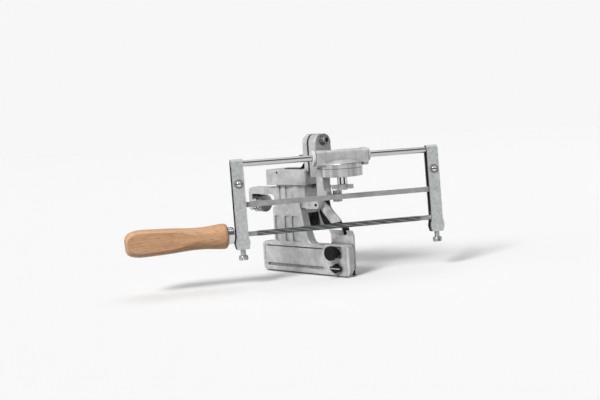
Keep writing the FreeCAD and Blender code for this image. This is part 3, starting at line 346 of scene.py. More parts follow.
def stage_mesh(name, rings):
    """A surface through rings given as (radius, height); a first radius of 0 is the middle."""
    points = []
    for radius, height in rings:
        for i in range(floor_sides):
            angle = 2 * math.pi * i / floor_sides
            points.append((radius * math.cos(angle), radius * math.sin(angle), height))
    faces = []
    for row in range(len(rings) - 1):
        for i in range(floor_sides):
            near = row * floor_sides + i
            side = row * floor_sides + (i + 1) % floor_sides
            faces.append((near, side, side + floor_sides, near + floor_sides))
    mesh = bpy.data.meshes.new(name)
    mesh.from_pydata(points, [], faces)
    piece = bpy.data.objects.new(name, mesh)
    bpy.context.scene.collection.objects.link(piece)
    return piece


def seen_directly(tree):
    """1 for the rays of the camera, mirrors and glass, and 0 for light on its way to the object."""
    path = place(tree, "ShaderNodeLightPath").outputs
    direct = math_node(tree, "MAXIMUM", path["Is Camera Ray"], path["Is Glossy Ray"])
    return math_node(tree, "MAXIMUM", direct, path["Is Transmission Ray"])


def level_shader(tree, kind, level):
    """A shader of one plain grey."""
    return place(tree, kind, {"Color": (*[level] * 3, 1)}).outputs[0]


def studio_material(name, fades):
    """Glows where it is seen, and gives the object little light. The floor fades into that glow."""
    material, tree = empty_material(name)
    shown = level_shader(tree, "ShaderNodeEmission", wall_level)
    if fades:
        away = vector_node(tree, "LENGTH", object_space(tree))
        near = level_shader(tree, "ShaderNodeBsdfDiffuse", floor_albedo)
        far = remap(tree, away, cove_start, cove_end)
        shown = place(tree, "ShaderNodeMixShader", {0: far, 1: near, 2: shown}).outputs[0]
    bounced = level_shader(tree, "ShaderNodeBsdfDiffuse", bounce_albedo)
    mix = place(tree, "ShaderNodeMixShader", {0: seen_directly(tree), 1: bounced, 2: shown})
    place(tree, "ShaderNodeOutputMaterial", {"Surface": mix.outputs[0]})
    return material


def add_sun(name, way, strength, angle):
    """A sun on this side of the tool, aimed at its middle."""
    data = bpy.data.lights.new(name, "SUN")
    data.energy = strength
    data.angle = angle
    lamp = bpy.data.objects.new(name, data)
    lamp.location = middle + way
    lamp.rotation_euler = (middle - lamp.location).to_track_quat("-Z", "Y").to_euler()
    bpy.context.scene.collection.objects.link(lamp)


floor_z = cad_low.z - floor_gap
floor = stage_mesh("studio_floor", [(0.0, floor_z), (floor_inner, floor_z), (stage_radius, floor_z)])
floor.data.materials.append(studio_material("studio_floor", True))
wall = stage_mesh("studio_wall", [(stage_radius, floor_z), (stage_radius, floor_z + wall_height)])
wall.data.materials.append(studio_material("studio_wall", False))
wall.visible_shadow = False
middle = (cad_low + cad_high) / 2
add_sun("sun", sun_from, sun_strength, sun_angle)
add_sun("fill_sun", fill_from, fill_strength, fill_angle)
add_sun("top_sun", top_from, top_strength, top_angle)
world = bpy.data.worlds.new("studio_world")
world.use_nodes = True
world.node_tree.nodes["Background"].inputs["Color"].default_value = (*[world_level] * 3, 1)
bpy.context.scene.world = world
bpy.context.scene.view_settings.view_transform = "Standard"
print("floor at %.1f mm, wall %.1f m high" % (floor_z / mm, wall_height))

# %% [markdown]
# ## Spaces
#
# A grain or a scratch has to run along its piece. The clamp lies along the axes, but the filing frame
# hangs turned and leaning, so its finish needs the frame's own axes. They needn't be typed in again:
# the joints hold them. The frame slides along the rod, and the left clamp screw turns about a line
# straight up the arm.

# %% Spaces
rod_way = Vector(joints["frame_slide"]["axis"]).normalized()
arm_way = Vector(joints["left_clamp_turn"]["axis"]).normalized()
across_way = arm_way.cross(rod_way).normalized()
rod_centre = Vector(joints["frame_tilt"]["pos_m"])
table_centre = Vector(joints["turntable_turn"]["pos_m"])
wheel_centre = Vector(joints["feed_wheel_turn"]["pos_m"])


def space_of(origin, along, across):
    """The matrix of a space whose X and Y run these ways."""
    up = along.cross(across)
    turn = Matrix((along, across, up)).transposed().to_4x4()
    return Matrix.Translation(origin) @ turn


def points_in(node, space):
    """A CAD node's points in this space."""
    back = space.inverted()
    return [back @ vertex.co for vertex in nodes[node].data.vertices]


def span_in(node, space):
    """Lowest and highest corner of a CAD node in this space."""
    points = points_in(node, space)
    low = Vector([min(point[i] for point in points) for i in range(3)])
    high = Vector([max(point[i] for point in points) for i in range(3)])
    return low, high


frame_space = space_of(rod_centre, rod_way, across_way)
file_low, file_high = span_in("round_file", frame_space)
file_drop = -(file_low.z + file_high.z) / 2
file_space = frame_space @ Matrix.Translation((0, 0, -file_drop))
lean = math.degrees(math.atan2(-across_way.z, arm_way.z))
print("file hangs %.1f mm below the rod, frame leans %.1f degrees" % (file_drop / mm, lean))


def space_group(name, space):
    """A node group that turns object coordinates into this space's coordinates."""
    tree, given, results = new_group(name, {}, {"Vector": "Vector"})
    shifted = vector_node(tree, "SUBTRACT", given["Vector"], space.translation)
    ways = space.to_3x3().col
    parts = {axis: vector_node(tree, "DOT_PRODUCT", shifted, way) for axis, way in zip("XYZ", ways)}
    feed(tree, results, Vector=join(tree, **parts))
    return tree


frame_coordinates = space_group("frame_coordinates", frame_space)
table_coordinates = space_group("table_coordinates", Matrix.Translation(table_centre))
wheel_coordinates = space_group("wheel_coordinates", Matrix.Translation(wheel_centre)
                                @ Matrix.Rotation(math.radians(90), 4, "Y"))

# %% [markdown]
# ## Shared effects
#
# Real metal is never one flat grey. Five effects return in nearly every finish here: a grain of some
# size, lines that run along the piece, rings left by turning, edges rubbed bright, and painted shade in
# the inner corners. Each is a node group, built once, with its sizes as inputs in metres, and each
# puts out a mask from 0 to 1. The short functions below them place one in a material.

# %% Shared effects
wear_grain = 1.5 * mm
# The second size is the noise that breaks up the painted corner shade.
corner_shade_grain = 2.5 * mm


def build_grain():
    """Fine noise of a given size, stretched to a mask."""
    numbers = {"Size": 0.5 * mm, "Detail": 3.0, "Low": 0.35, "High": 0.65}
    tree, given, results = new_group("grain", numbers, {"Mask": "Float"})
    scale = math_node(tree, "DIVIDE", 1.0, given["Size"])
    noise = place(tree, "ShaderNodeTexNoise", {"Vector": given["Vector"], "Scale": scale,
                                               "Detail": given["Detail"], "Roughness": 0.6})
    feed(tree, results, Mask=remap(tree, noise.outputs[0], given["Low"], given["High"]))
    return tree


def build_lines():
    """Noise drawn out along X: the lines of drawing, grinding or rolling."""
    numbers = {"Length": 30 * mm, "Width": 0.3 * mm, "Low": 0.3, "High": 0.7}
    tree, given, results = new_group("drawn_lines", numbers, {"Mask": "Float"})
    along = math_node(tree, "DIVIDE", 1.0, given["Length"])
    side = math_node(tree, "DIVIDE", 1.0, given["Width"])
    scaled = vector_node(tree, "MULTIPLY", given["Vector"], join(tree, X=along, Y=side, Z=side))
    noise = place(tree, "ShaderNodeTexNoise", {"Vector": scaled, "Scale": 1.0, "Detail": 2.0})
    feed(tree, results, Mask=remap(tree, noise.outputs[0], given["Low"], given["High"]))
    return tree


def build_rings():
    """Turning marks round the Z axis: rings on a face, and circles round a side."""
    kinds = {"Mask": "Float", "Radius": "Float", "Height": "Float"}
    tree, given, results = new_group("turning_rings", {"Pitch": 0.3 * mm}, kinds)
    parts = split(tree, given["Vector"])
    radius = vector_node(tree, "LENGTH", join(tree, X=parts["X"], Y=parts["Y"]))
    both = math_node(tree, "ADD", radius, parts["Z"])
    count = math_node(tree, "DIVIDE", both, given["Pitch"])
    noise = place(tree, "ShaderNodeTexNoise", {"W": count, "Scale": 1.0, "Detail": 2.0},
                  noise_dimensions="1D")
    mask = remap(tree, noise.outputs[0], 0.3, 0.7)
    feed(tree, results, Mask=mask, Radius=radius, Height=parts["Z"])
    return tree


def build_edge_wear():
    """Finds the edges by how far a rounded normal turns away from the true one, broken by noise."""
    numbers = {"Radius": 0.6 * mm, "Gain": 6.0}
    tree, given, results = new_group("edge_wear", numbers, {"Mask": "Float"})
    rounded = place(tree, "ShaderNodeBevel", {"Radius": given["Radius"]}, samples=4).outputs[0]
    true = place(tree, "ShaderNodeNewGeometry").outputs["Normal"]
    match = vector_node(tree, "DOT_PRODUCT", rounded, true)
    turn = math_node(tree, "SUBTRACT", 1.0, match)
    noise = place(tree, "ShaderNodeTexNoise", {"Vector": given["Vector"], "Scale": 1 / wear_grain,
                                               "Detail": 3.0}).outputs[0]
    broken = times(tree, turn, remap(tree, noise, 0.3, 0.6, 0.3, 1.0))
    mask = math_node(tree, "MULTIPLY", broken, given["Gain"], clamp=True)
    feed(tree, results, Mask=mask)
    return tree


def build_painted_corner_shade():
    """Painted shade where two faces meet: dark where ambient occlusion finds little open sky, broken by
    noise.
    """
    tree, given, results = new_group("painted_corner_shade", {"Reach": 3 * mm}, {"Mask": "Float"})
    open_sky = place(tree, "ShaderNodeAmbientOcclusion", {"Distance": given["Reach"]},
                     samples=6).outputs["AO"]
    shut = math_node(tree, "SUBTRACT", 1.0, open_sky)
    noise = place(tree, "ShaderNodeTexNoise", {"Vector": given["Vector"], "Scale": 1 / corner_shade_grain,
                                               "Detail": 4.0}).outputs[0]
    mask = times(tree, remap(tree, shut, 0.15, 0.75),
                     remap(tree, noise, 0.3, 0.6, 0.6, 1.0))
    feed(tree, results, Mask=mask)
    return tree


def grain_at(tree, spot, size, detail, low=0.35, high=0.65):
    return use(tree, grain, Vector=spot, Size=size, Detail=detail, Low=low, High=high)["Mask"]


def lines_at(tree, spot, length, width, low=0.3, high=0.7):
    return use(tree, lines, Vector=spot, Length=length, Width=width, Low=low, High=high)["Mask"]


def wear_at(tree, spot, radius, gain):
    return use(tree, edge_wear, Vector=spot, Radius=radius, Gain=gain)["Mask"]


# Painted shade in the inner corners, from ambient occlusion.
def corner_shade_at(tree, spot, reach):
    return use(tree, painted_corner_shade, Vector=spot, Reach=reach)["Mask"]


grain = build_grain()
lines = build_lines()
rings = build_rings()
edge_wear = build_edge_wear()
painted_corner_shade = build_painted_corner_shade()
print("effects:", [group.name for group in (grain, lines, rings, edge_wear, painted_corner_shade)])

# %% [markdown]
# ## Die-cast metal
#
# The clamp, the arm and the guide are castings, tumbled and left bare. Three grains of different size
# lie over each other: a slow cloudiness of the skin, an orange peel of about a millimetre, and the
# fine bright speckle of the blasted surface. The corners are rubbed lighter, and the inner corners
# are darkened with painted shade.

# %% Die-cast metal
cast_light = paint(226, 227, 226)
cast_mid = paint(198, 199, 198)
cast_dark = paint(146, 148, 148)
# The colour of the painted shade in the inner corners, then of the rubbed edges.
cast_corner_shade = paint(48, 49, 49)
cast_rubbed = paint(242, 243, 242)
# The painted shade inside the chain tunnel: its near-black colour and the tunnel's bounds.
tunnel_shade = paint(26, 26, 25)
tunnel_back = 5.1 * mm
tunnel_front = -9.9 * mm
tunnel_top = 45.2 * mm
tunnel_end = -10 * mm
# The width of the painted reflection bands round the rim.
reflection_band_width = 0.35
rim_reach = 0.35 * mm
rim_low = -10.6 * mm
rim_high = 3.2 * mm
disc_skin = 1 * mm


def cast_surface(tree):
    """Colour, roughness and normal of the bare casting, for the materials that show it."""
    spot = object_space(tree)
    cloud = grain_at(tree, spot, 9 * mm, 2.0)
    peel = grain_at(tree, spot, 1.3 * mm, 2.0, 0.3, 0.7)
    speck = grain_at(tree, spot, 0.6 * mm, 2.0, 0.3, 0.7)
    worn = wear_at(tree, spot, 0.7 * mm, 5.0)
    corner_shade = corner_shade_at(tree, spot, 5 * mm)
    tone = blend_colour(tree, cloud, cast_mid, cast_light)
    tone = blend_colour(tree, spread(tree, speck, 0.5, 0.0), tone, cast_dark)
    # Painted shade in the inner corners, laid over the casting's tone.
    tone = cover(tree, tone, corner_shade, 0.85, cast_corner_shade)
    tone = cover(tree, tone, worn, 0.75, cast_rubbed)
    rough = spread(tree, peel, 0.38, 0.56)
    rough = blend_value(tree, worn, rough, 0.3)
    normal = bump(tree, peel, 0.05 * mm)
    normal = bump(tree, speck, 0.028 * mm, normal)
    return tone, rough, normal


def cast_material():
    material, tree, sockets = start_material("cast_zinc", Metallic=0.35)
    tone, rough, normal = cast_surface(tree)
    feed(tree, sockets, Base_Color=tone, Roughness=rough, Normal=normal)
    return material


def tunnel_shaded_casting_material():
    """The clamp's casting, blackened by painted shade inside the tunnel that the chain runs through."""
    material, tree, sockets = start_material("cast_zinc_tunnel_shade", Metallic=0.35)
    tone, rough, normal = cast_surface(tree)
    parts = split(tree, object_space(tree))
    inside = math_node(tree, "GREATER_THAN", parts["Y"], tunnel_front)
    for axis, limit in (("Y", tunnel_back), ("Z", tunnel_top), ("X", tunnel_end)):
        inside = times(tree, inside, math_node(tree, "LESS_THAN", parts[axis], limit))
    smear = grain_at(tree, object_space(tree), 4 * mm, 4.0)
    tunnel_shade_mask = times(tree, inside, spread(tree, smear, 0.75, 0.97))
    # Painted shade: the inside of the tunnel is laid nearly black.
    tone = blend_colour(tree, tunnel_shade_mask, tone, tunnel_shade)
    feed(tree, sockets, Base_Color=tone, Roughness=rough, Normal=normal)
    return material


def turned_casting_material():
    """The casting, with the turned rim of the turntable's two discs left bright, and darker bands laid
    across it by angle as painted reflection.
    """
    material, tree, sockets = start_material("cast_zinc_turned")
    tone, rough, normal = cast_surface(tree)
    spot = within(tree, table_coordinates, object_space(tree))
    turned = use(tree, rings, Vector=spot, Pitch=0.22 * mm)
    off = math_node(tree, "ABSOLUTE", math_node(tree, "SUBTRACT", turned["Radius"], rim_radius))
    rim = math_node(tree, "LESS_THAN", off, rim_reach)
    above = math_node(tree, "GREATER_THAN", turned["Height"], rim_low)
    below = math_node(tree, "LESS_THAN", turned["Height"], rim_high)
    mask = times(tree, times(tree, rim, above), below)
    outward = vector_node(tree, "NORMALIZE", vector_node(tree, "MULTIPLY", spot, (1, 1, 0)))
    # Painted reflection: darker bands across the rim by the angle round its axis.
    painted_reflection_bands = grain_at(tree, outward, reflection_band_width, 2.0)
    bright = blend_colour(tree, turned["Mask"], grey(196), grey(232))
    bright = cover(tree, bright, painted_reflection_bands, 0.7, grey(124))
    tone = blend_colour(tree, mask, tone, bright)
    rough = blend_value(tree, mask, rough, spread(tree, turned["Mask"], 0.24, 0.38))
    ringed = bump(tree, turned["Mask"], 0.006 * mm)
    normal = blend_normal(tree, mask, normal, ringed)
    metal = spread(tree, mask, 0.35, 0.95)
    feed(tree, sockets, Base_Color=tone, Roughness=rough, Normal=normal, Metallic=metal)
    return material


def rim_size():
    """The turntable's radius, from the points on the underside of its upper disc."""
    points = points_in("guide_body", Matrix.Translation(table_centre))
    lowest = min(point.z for point in points)
    return max(math.hypot(point.x, point.y) for point in points if point.z < lowest + disc_skin)


rim_radius = rim_size()
cast_zinc = cast_material()
cast_tunnel_shaded = tunnel_shaded_casting_material()
cast_turned = turned_casting_material()
print("turned rim of radius %.1f mm" % (rim_radius / mm))

# %% [markdown]
# ## Strip, plate and plating
#
# The arms are pressed from strip and zinc plated: cool, softly mottled where the plating grew, with
# faint lines of rolling. The flat bar and the pressure plate are plain rolled steel, darker and more
# even. The mottle is a grain of several millimetres, and the lines run along the piece in its own
# space.

# %% Strip, plate and plating
# How dark the painted shade is on an arm's cut edges and on its inner faces.
arm_edge_dark = 0.75
arm_inside_dark = 0.95
driver_slot_half = 0.6 * mm


def arm_painted_shade(tree, spot):
    """Painted shade on an arm pressed from strip: dark on its cut edges and on its inner faces."""
    edge = remap(tree, facing(tree, rod_way), 0.7, 0.9, 0.0, arm_edge_dark)
    across = split(tree, spot)["Y"]
    outward = times(tree, across, looks_along(tree, across_way))
    inside = remap(tree, outward, -1 * mm, -0.5 * mm, arm_inside_dark, 0.0)
    return math_node(tree, "MAXIMUM", edge, inside)


def strip_material(name, space, light, dark, metal, rough_low, rough_high, mottle, reach=2.5 * mm,
                   hollow=False):
    """Rolled strip whose lines run along the given space's X. A hollow arm is shaded as above."""
    material, tree, sockets = start_material(name, Metallic=metal)
    own = object_space(tree)
    spot = within(tree, space, own) if space else own
    cloud = grain_at(tree, own, mottle, 4.0, 0.32, 0.68)
    speck = grain_at(tree, own, 0.5 * mm, 2.0)
    drawn = lines_at(tree, spot, 40 * mm, 0.4 * mm)
    worn = wear_at(tree, own, 0.4 * mm, 6.0)
    corner_shade = corner_shade_at(tree, own, reach)
    tone = blend_colour(tree, cloud, dark, light)
    tone = blend_colour(tree, spread(tree, speck, 0.25, 0.0), tone, dark)
    tone = blend_colour(tree, spread(tree, drawn, 0.3, 0.0), tone, dark)
    # Painted shade in the inner corners.
    tone = cover(tree, tone, corner_shade, 0.85, grey(48))
    tone = cover(tree, tone, worn, 0.7, grey(226))
    if hollow:
        # Painted shade on the cut edges and inner faces of a hollow arm.
        tone = blend_colour(tree, arm_painted_shade(tree, spot), tone, grey(16))
    rough = spread(tree, cloud, rough_high, rough_low)
    normal = bump(tree, drawn, 0.006 * mm)
    normal = bump(tree, cloud, 0.03 * mm, normal)
    feed(tree, sockets, Base_Color=tone, Roughness=rough, Normal=normal)
    return material


zinc_strip = strip_material("zinc_plated", frame_coordinates, paint(220, 222, 222),
                            paint(184, 187, 188), 0.4, 0.32, 0.46, 3.2 * mm, 4 * mm, hollow=True)
screw_zinc = strip_material("screw_zinc", frame_coordinates, grey(206), grey(150), 0.75, 0.2, 0.36,
                            1.5 * mm, 4 * mm)
screw_dark = strip_material("screw_dark", None, grey(168), grey(116), 0.7, 0.24, 0.4, 1.5 * mm, 5 * mm)


def slotted_screw_material():
    """The cross screws' heads: bright, with the driver slot along the rod laid black as painted shade.
    """
    material, tree, sockets = start_material("slotted_screw", Metallic=0.8)
    own = object_space(tree)
    spot = within(tree, frame_coordinates, own)
    low, high = span_in("pinch_screws", frame_space)
    up = split(tree, spot)["Z"]
    off = math_node(tree, "ABSOLUTE", math_node(tree, "SUBTRACT", up, (low.z + high.z) / 2))
    slot = math_node(tree, "LESS_THAN", off, driver_slot_half)
    cloud = grain_at(tree, own, 1.2 * mm, 2.0)
    tone = blend_colour(tree, cloud, grey(214), grey(240))
    # Painted shade: the driver slot is laid nearly black.
    tone = cover(tree, tone, slot, 0.95, grey(8))
    feed(tree, sockets, Base_Color=tone, Roughness=spread(tree, cloud, 0.2, 0.34))
    return material


slotted_screw = slotted_screw_material()
bar_steel = strip_material("bar_steel", frame_coordinates, grey(186), grey(158), 0.3, 0.42, 0.55,
                           7 * mm)
plate_steel = strip_material("plate_steel", None, grey(222), grey(188), 0.35, 0.32, 0.48, 5 * mm,
                             9 * mm)
print("strip finishes:", zinc_strip.name, bar_steel.name, plate_steel.name, screw_dark.name)

# %% [markdown]
# ## Ground and polished steel
#
# The rod is ground and polished: nearly a mirror, so it is drawn by what it reflects. Fine lines along
# it split the reflections, as on the real rod. The small turned parts have rings instead.

# %% Ground and polished steel


def polished_material(name, space, length, light, rough_low, rough_high, depth):
    material, tree, sockets = start_material(name, Metallic=1.0)
    own = object_space(tree)
    spot = within(tree, space, own) if space else own
    drawn = lines_at(tree, spot, length, 0.25 * mm)
    smear = grain_at(tree, own, 6 * mm, 3.0)
    corner_shade = corner_shade_at(tree, own, 1.6 * mm)
    dark = tuple(0.6 * level for level in light[:3]) + (1.0,)
    tone = blend_colour(tree, spread(tree, drawn, 0.6, 0.0), light, dark)
    # Painted shade in the inner corners.
    tone = cover(tree, tone, corner_shade, 0.9, grey(30))
    rough = spread(tree, smear, rough_low, rough_high)
    feed(tree, sockets, Base_Color=tone, Roughness=rough, Normal=bump(tree, drawn, depth))
    return material


rod_steel = polished_material("ground_rod", frame_coordinates, 60 * mm, grey(208), 0.12, 0.2,
                              0.004 * mm)
bright_steel = polished_material("bright_steel", None, 1.2 * mm, grey(222), 0.1, 0.2, 0.002 * mm)
print("polished finishes:", rod_steel.name, bright_steel.name)

# %% [markdown]
# ## Knurls and slots
#
# A knurled nut, the grooved feed wheel and the slotted sleeve read as bright teeth with black between
# them, and that black is painted shade in the flutes. How far a point lies from the piece's own axis
# tells the flute's floor from its tooth, and only the sides count, not the flat ends. The feed wheel's
# rings carry fine slanted teeth as well, painted only, whose dark gaps are painted shade and a sine of
# the angle round its axis; its flat ends are painted darker as shade.

# %% Knurls and slots
nut_flute = 0.4 * mm
wheel_groove = 1.6 * mm
tooth_top = 0.05 * mm
wheel_teeth = 22
teeth_slant = 3.4 * mm


def painted_teeth_shade(tree, spot, count):
    """Painted shade in the gaps between teeth that lie aslant on a wheel round the space's Z."""
    parts = split(tree, spot)
    turn = math_node(tree, "ARCTAN2", parts["Y"], parts["X"])
    lean = math_node(tree, "DIVIDE", parts["Z"], teeth_slant)
    phase = math_node(tree, "ADD", times(tree, turn, count), lean)
    return remap(tree, math_node(tree, "SINE", phase), 0.0, 0.5)


def fluted_material(name, space, way, radius, depth, light, dark, teeth=0):
    """Bright turned metal, with black painted shade in flutes of this depth round the space's Z, the
    object's `way`.
    """
    material, tree, sockets = start_material(name, Metallic=0.9)
    own = object_space(tree)
    spot = within(tree, space, own)
    turned = use(tree, rings, Vector=spot, Pitch=0.25 * mm)
    side = math_node(tree, "LESS_THAN", facing(tree, way), 0.8)
    deep = remap(tree, turned["Radius"], radius - depth, radius - tooth_top, 1.0, 0.0)
    if teeth:
        # Painted shade in the gaps of the painted slanted teeth.
        deep = math_node(tree, "MAXIMUM", deep, painted_teeth_shade(tree, spot, teeth))
        # The flat ends are painted darker, as shade.
        dark = blend_colour(tree, side, grey(136), dark)
        light = blend_colour(tree, side, grey(176), light)
    floor = times(tree, deep, side)
    corner_shade = corner_shade_at(tree, own, 3 * mm)
    tone = blend_colour(tree, turned["Mask"], dark, light)
    # Painted shade in the inner corners.
    tone = cover(tree, tone, corner_shade, 0.6, grey(20))
    # Painted shade: the flute floors are laid nearly black.
    tone = blend_colour(tree, floor, tone, grey(8))
    rough = spread(tree, turned["Mask"], 0.2, 0.32)
    feed(tree, sockets, Base_Color=tone, Roughness=rough,
         Normal=bump(tree, turned["Mask"], 0.004 * mm))
    return material


nut_centre = Vector(joints["height_nut_turn"]["pos_m"])
nut_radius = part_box("height_nut")[1][0] - nut_centre.x
wheel_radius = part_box("feed_wheel")[1][2] - wheel_centre.z
nut_coordinates = space_group("nut_coordinates", Matrix.Translation(nut_centre))
knurled_nut = fluted_material("knurled_nut", nut_coordinates, (0, 0, 1), nut_radius, nut_flute,
                              grey(232), grey(196))
grooved_wheel = fluted_material("grooved_wheel", wheel_coordinates, (1, 0, 0), wheel_radius,
                                wheel_groove, grey(240), grey(196), wheel_teeth)


def sleeve_material():
    """Bright sleeve whose slots, marked on its mesh, are laid black as painted shade."""
    material, tree, sockets = start_material("slotted_sleeve", Metallic=0.9)
    slot = drawn_on(tree, "slot")
    drawn = lines_at(tree, object_space(tree), 8 * mm, 0.3 * mm)
    tone = blend_colour(tree, drawn, grey(206), grey(240))
    # Painted shade: the slots are laid nearly black.
    tone = blend_colour(tree, slot, tone, grey(6))
    feed(tree, sockets, Base_Color=tone, Roughness=spread(tree, drawn, 0.16, 0.3),
         Normal=bump(tree, drawn, 0.003 * mm))
    return material


sleeve_steel = sleeve_material()
print("nut radius %.2f mm, wheel radius %.2f mm" % (nut_radius / mm, wheel_radius / mm))

# %% [markdown]
# ## Black oxide, black plastic and nylon
#
# Small dark parts go flat if they are plain black. Blackened steel is a little blue, with a thin sheen
# and bare metal at its corners. The knob is moulded plastic with a fine spark-eroded grain. Nylon is
# white and a little waxy, with a slow cloudiness and grey painted shade where it meets the metal.

# %% Black oxide, black plastic and nylon


def black_oxide_material():
    material, tree, sockets = start_material("blackened_steel", Metallic=0.6)
    own = object_space(tree)
    cloud = grain_at(tree, own, 2 * mm, 3.0)
    worn = wear_at(tree, own, 0.3 * mm, 4.0)
    tone = blend_colour(tree, cloud, paint(18, 19, 20), paint(34, 35, 37))
    tone = cover(tree, tone, worn, 0.4, grey(96))
    rough = spread(tree, cloud, 0.3, 0.48)
    feed(tree, sockets, Base_Color=tone, Roughness=rough, Normal=bump(tree, cloud, 0.01 * mm))
    return material


def black_plastic_material():
    material, tree, sockets = start_material("black_plastic", IOR=1.5, Specular_IOR_Level=0.2)
    own = object_space(tree)
    fine = grain_at(tree, own, 0.25 * mm, 1.0)
    cloud = grain_at(tree, own, 4 * mm, 3.0)
    worn = wear_at(tree, own, 0.4 * mm, 4.0)
    tone = blend_colour(tree, cloud, paint(9, 10, 11), paint(20, 21, 23))
    tone = cover(tree, tone, worn, 0.3, paint(52, 54, 57))
    rough = spread(tree, cloud, 0.42, 0.56)
    feed(tree, sockets, Base_Color=tone, Roughness=rough, Normal=bump(tree, fine, 0.012 * mm))
    return material


def nylon_material():
    material, tree, sockets = start_material("white_nylon", IOR=1.53)
    own = object_space(tree)
    cloud = grain_at(tree, own, 5 * mm, 3.0)
    fine = grain_at(tree, own, 0.4 * mm, 2.0)
    corner_shade = corner_shade_at(tree, own, 2 * mm)
    tone = blend_colour(tree, cloud, paint(222, 222, 218), paint(236, 236, 232))
    # Painted shade where the nylon meets the metal.
    tone = cover(tree, tone, corner_shade, 0.4, paint(168, 168, 162))
    rough = spread(tree, cloud, 0.34, 0.46)
    feed(tree, sockets, Base_Color=tone, Roughness=rough, Normal=bump(tree, fine, 0.008 * mm))
    return material


blackened = black_oxide_material()
black_plastic = black_plastic_material()
nylon = nylon_material()
print("dark and white finishes:", blackened.name, black_plastic.name, nylon.name)

# %% [markdown]
# ## File steel
#
# The file's teeth are real geometry. Their colour adds what shape can't: hardened steel is nearly
# black in the gullets, and the tooth tips are worn bright. A mask painted on the mesh while the teeth
# are made, 0 at the root and 1 at the tip, drives both, and it also carries pale bands that twist
# along the file, which are painted highlight.

# %% File steel


def file_material():
    material, tree, sockets = start_material("file_teeth", Metallic=0.8)
    own = object_space(tree)
    tip_and_highlight = drawn_on(tree, "tooth")
    cloud = grain_at(tree, own, 8 * mm, 4.0)
    cut = drawn_on(tree, "cut")
    plain = blend_colour(tree, cloud, grey(146), grey(172))
    tone = blend_colour(tree, cloud, paint(64, 68, 69), paint(92, 95, 96))
    # Worn tooth tips and painted highlight along the twisting bands are laid lighter.
    tone = blend_colour(tree, remap(tree, tip_and_highlight, 0.3, 1.0, 0.0, 0.8), tone, paint(182, 186, 186))
    tone = blend_colour(tree, cut, plain, tone)
    rough = spread(tree, tip_and_highlight, 0.5, 0.28)
    feed(tree, sockets, Base_Color=tone, Roughness=rough, Normal=bump(tree, cloud, 0.01 * mm))
    return material


file_steel = file_material()
print("file finish:", file_steel.name)

# %% [markdown]
# ## Beech
#
# Steamed beech is salmon to straw coloured, with three things on it: growth rings, which show as long
# lines where the grip's flat cuts them, fine fibres along the grip, and short brown flecks, the ends
# of its rays. The rings are distances from a pith line outside the handle, bent by slow noise. All of
# it is worked out in the handle's own space, with X along the grip, so the figure runs through the
# wood as it would in a turned piece.

# %% Beech
ring_width = 2.3 * mm
pith = Vector((0.0, 30 * mm, 40 * mm))
pith_slope = -0.06
ring_wander = 3 * mm


def build_beech_figure():
    kinds = {"Color": "Color", "Height": "Float", "Fleck": "Float"}
    tree, given, results = new_group("beech_figure", {}, kinds)
    spot = given["Vector"]
    bend = place(tree, "ShaderNodeTexNoise", {"Vector": spot, "Scale": 1 / (34 * mm), "Detail": 2.0})
    shift = vector_node(tree, "MULTIPLY", bend.outputs["Color"], (ring_wander,) * 3)
    bent = vector_node(tree, "ADD", spot, shift)
    parts = split(tree, bent)
    rise = times(tree, parts["X"], pith_slope)
    side = math_node(tree, "SUBTRACT", math_node(tree, "ADD", parts["Y"], rise), pith.y)
    up = math_node(tree, "SUBTRACT", parts["Z"], pith.z)
    distance = vector_node(tree, "LENGTH", join(tree, X=side, Y=up))
    turn = math_node(tree, "FRACT", math_node(tree, "DIVIDE", distance, ring_width))
    late = math_node(tree, "POWER", turn, 5.0)
    fibre = lines_at(tree, spot, 16 * mm, 0.5 * mm)
    cloud = lines_at(tree, spot, 45 * mm, 4 * mm)
    fleck = lines_at(tree, spot, 6 * mm, 0.8 * mm, 0.54, 0.66)
    tone = blend_colour(tree, cloud, paint(209, 162, 120), paint(224, 183, 145))
    tone = cover(tree, tone, fibre, 0.35, paint(194, 140, 96))
    tone = cover(tree, tone, late, 0.45, paint(190, 120, 76))
    tone = cover(tree, tone, fleck, 0.5, paint(168, 108, 68))
    feed(tree, results, Color=tone, Height=math_node(tree, "SUBTRACT", fibre, fleck), Fleck=fleck)
    return tree


beech_figure = build_beech_figure()


def beech_material():
    material, tree, sockets = start_material("beech", IOR=1.5, Coat_Roughness=0.3)
    own = object_space(tree)
    figure = use(tree, beech_figure, Vector=own)
    ridge = drawn_on(tree, "ridge")
    broken = lines_at(tree, own, 9 * mm, 1.2 * mm, 0.3, 0.6)
    # The flat's edge is drawn darker, broken along its length.
    darker_ridge = times(tree, ridge, spread(tree, broken, 0.35, 0.85))
    tone = blend_colour(tree, darker_ridge, figure["Color"], paint(168, 100, 60))
    cloud = grain_at(tree, own, 12 * mm, 3.0)
    rough = spread(tree, figure["Fleck"], 0.42, 0.6)
    coat = spread(tree, cloud, 0.12, 0.3)
    feed(tree, sockets, Base_Color=tone, Roughness=rough, Coat_Weight=coat,
         Normal=bump(tree, figure["Height"], 0.02 * mm))
    return material


beech = beech_material()
print("wood finish:", beech.name)

# %% [markdown]
# ## Round file
#
# A round file carries small chisel teeth in rows that wind round it. One tooth row alone is too fine to
# see from here, but the rows together read as pale bands that twist along the file, and these bands
# are painted highlight. The piece is a grid of points wound on a cylinder, each point's radius worked
# out from two waves: the teeth and the rows. The same waves fill an attribute, so that colour and shape
# agree, and the slow twist is added to the colour alone. The plain shanks at both ends stay smooth.

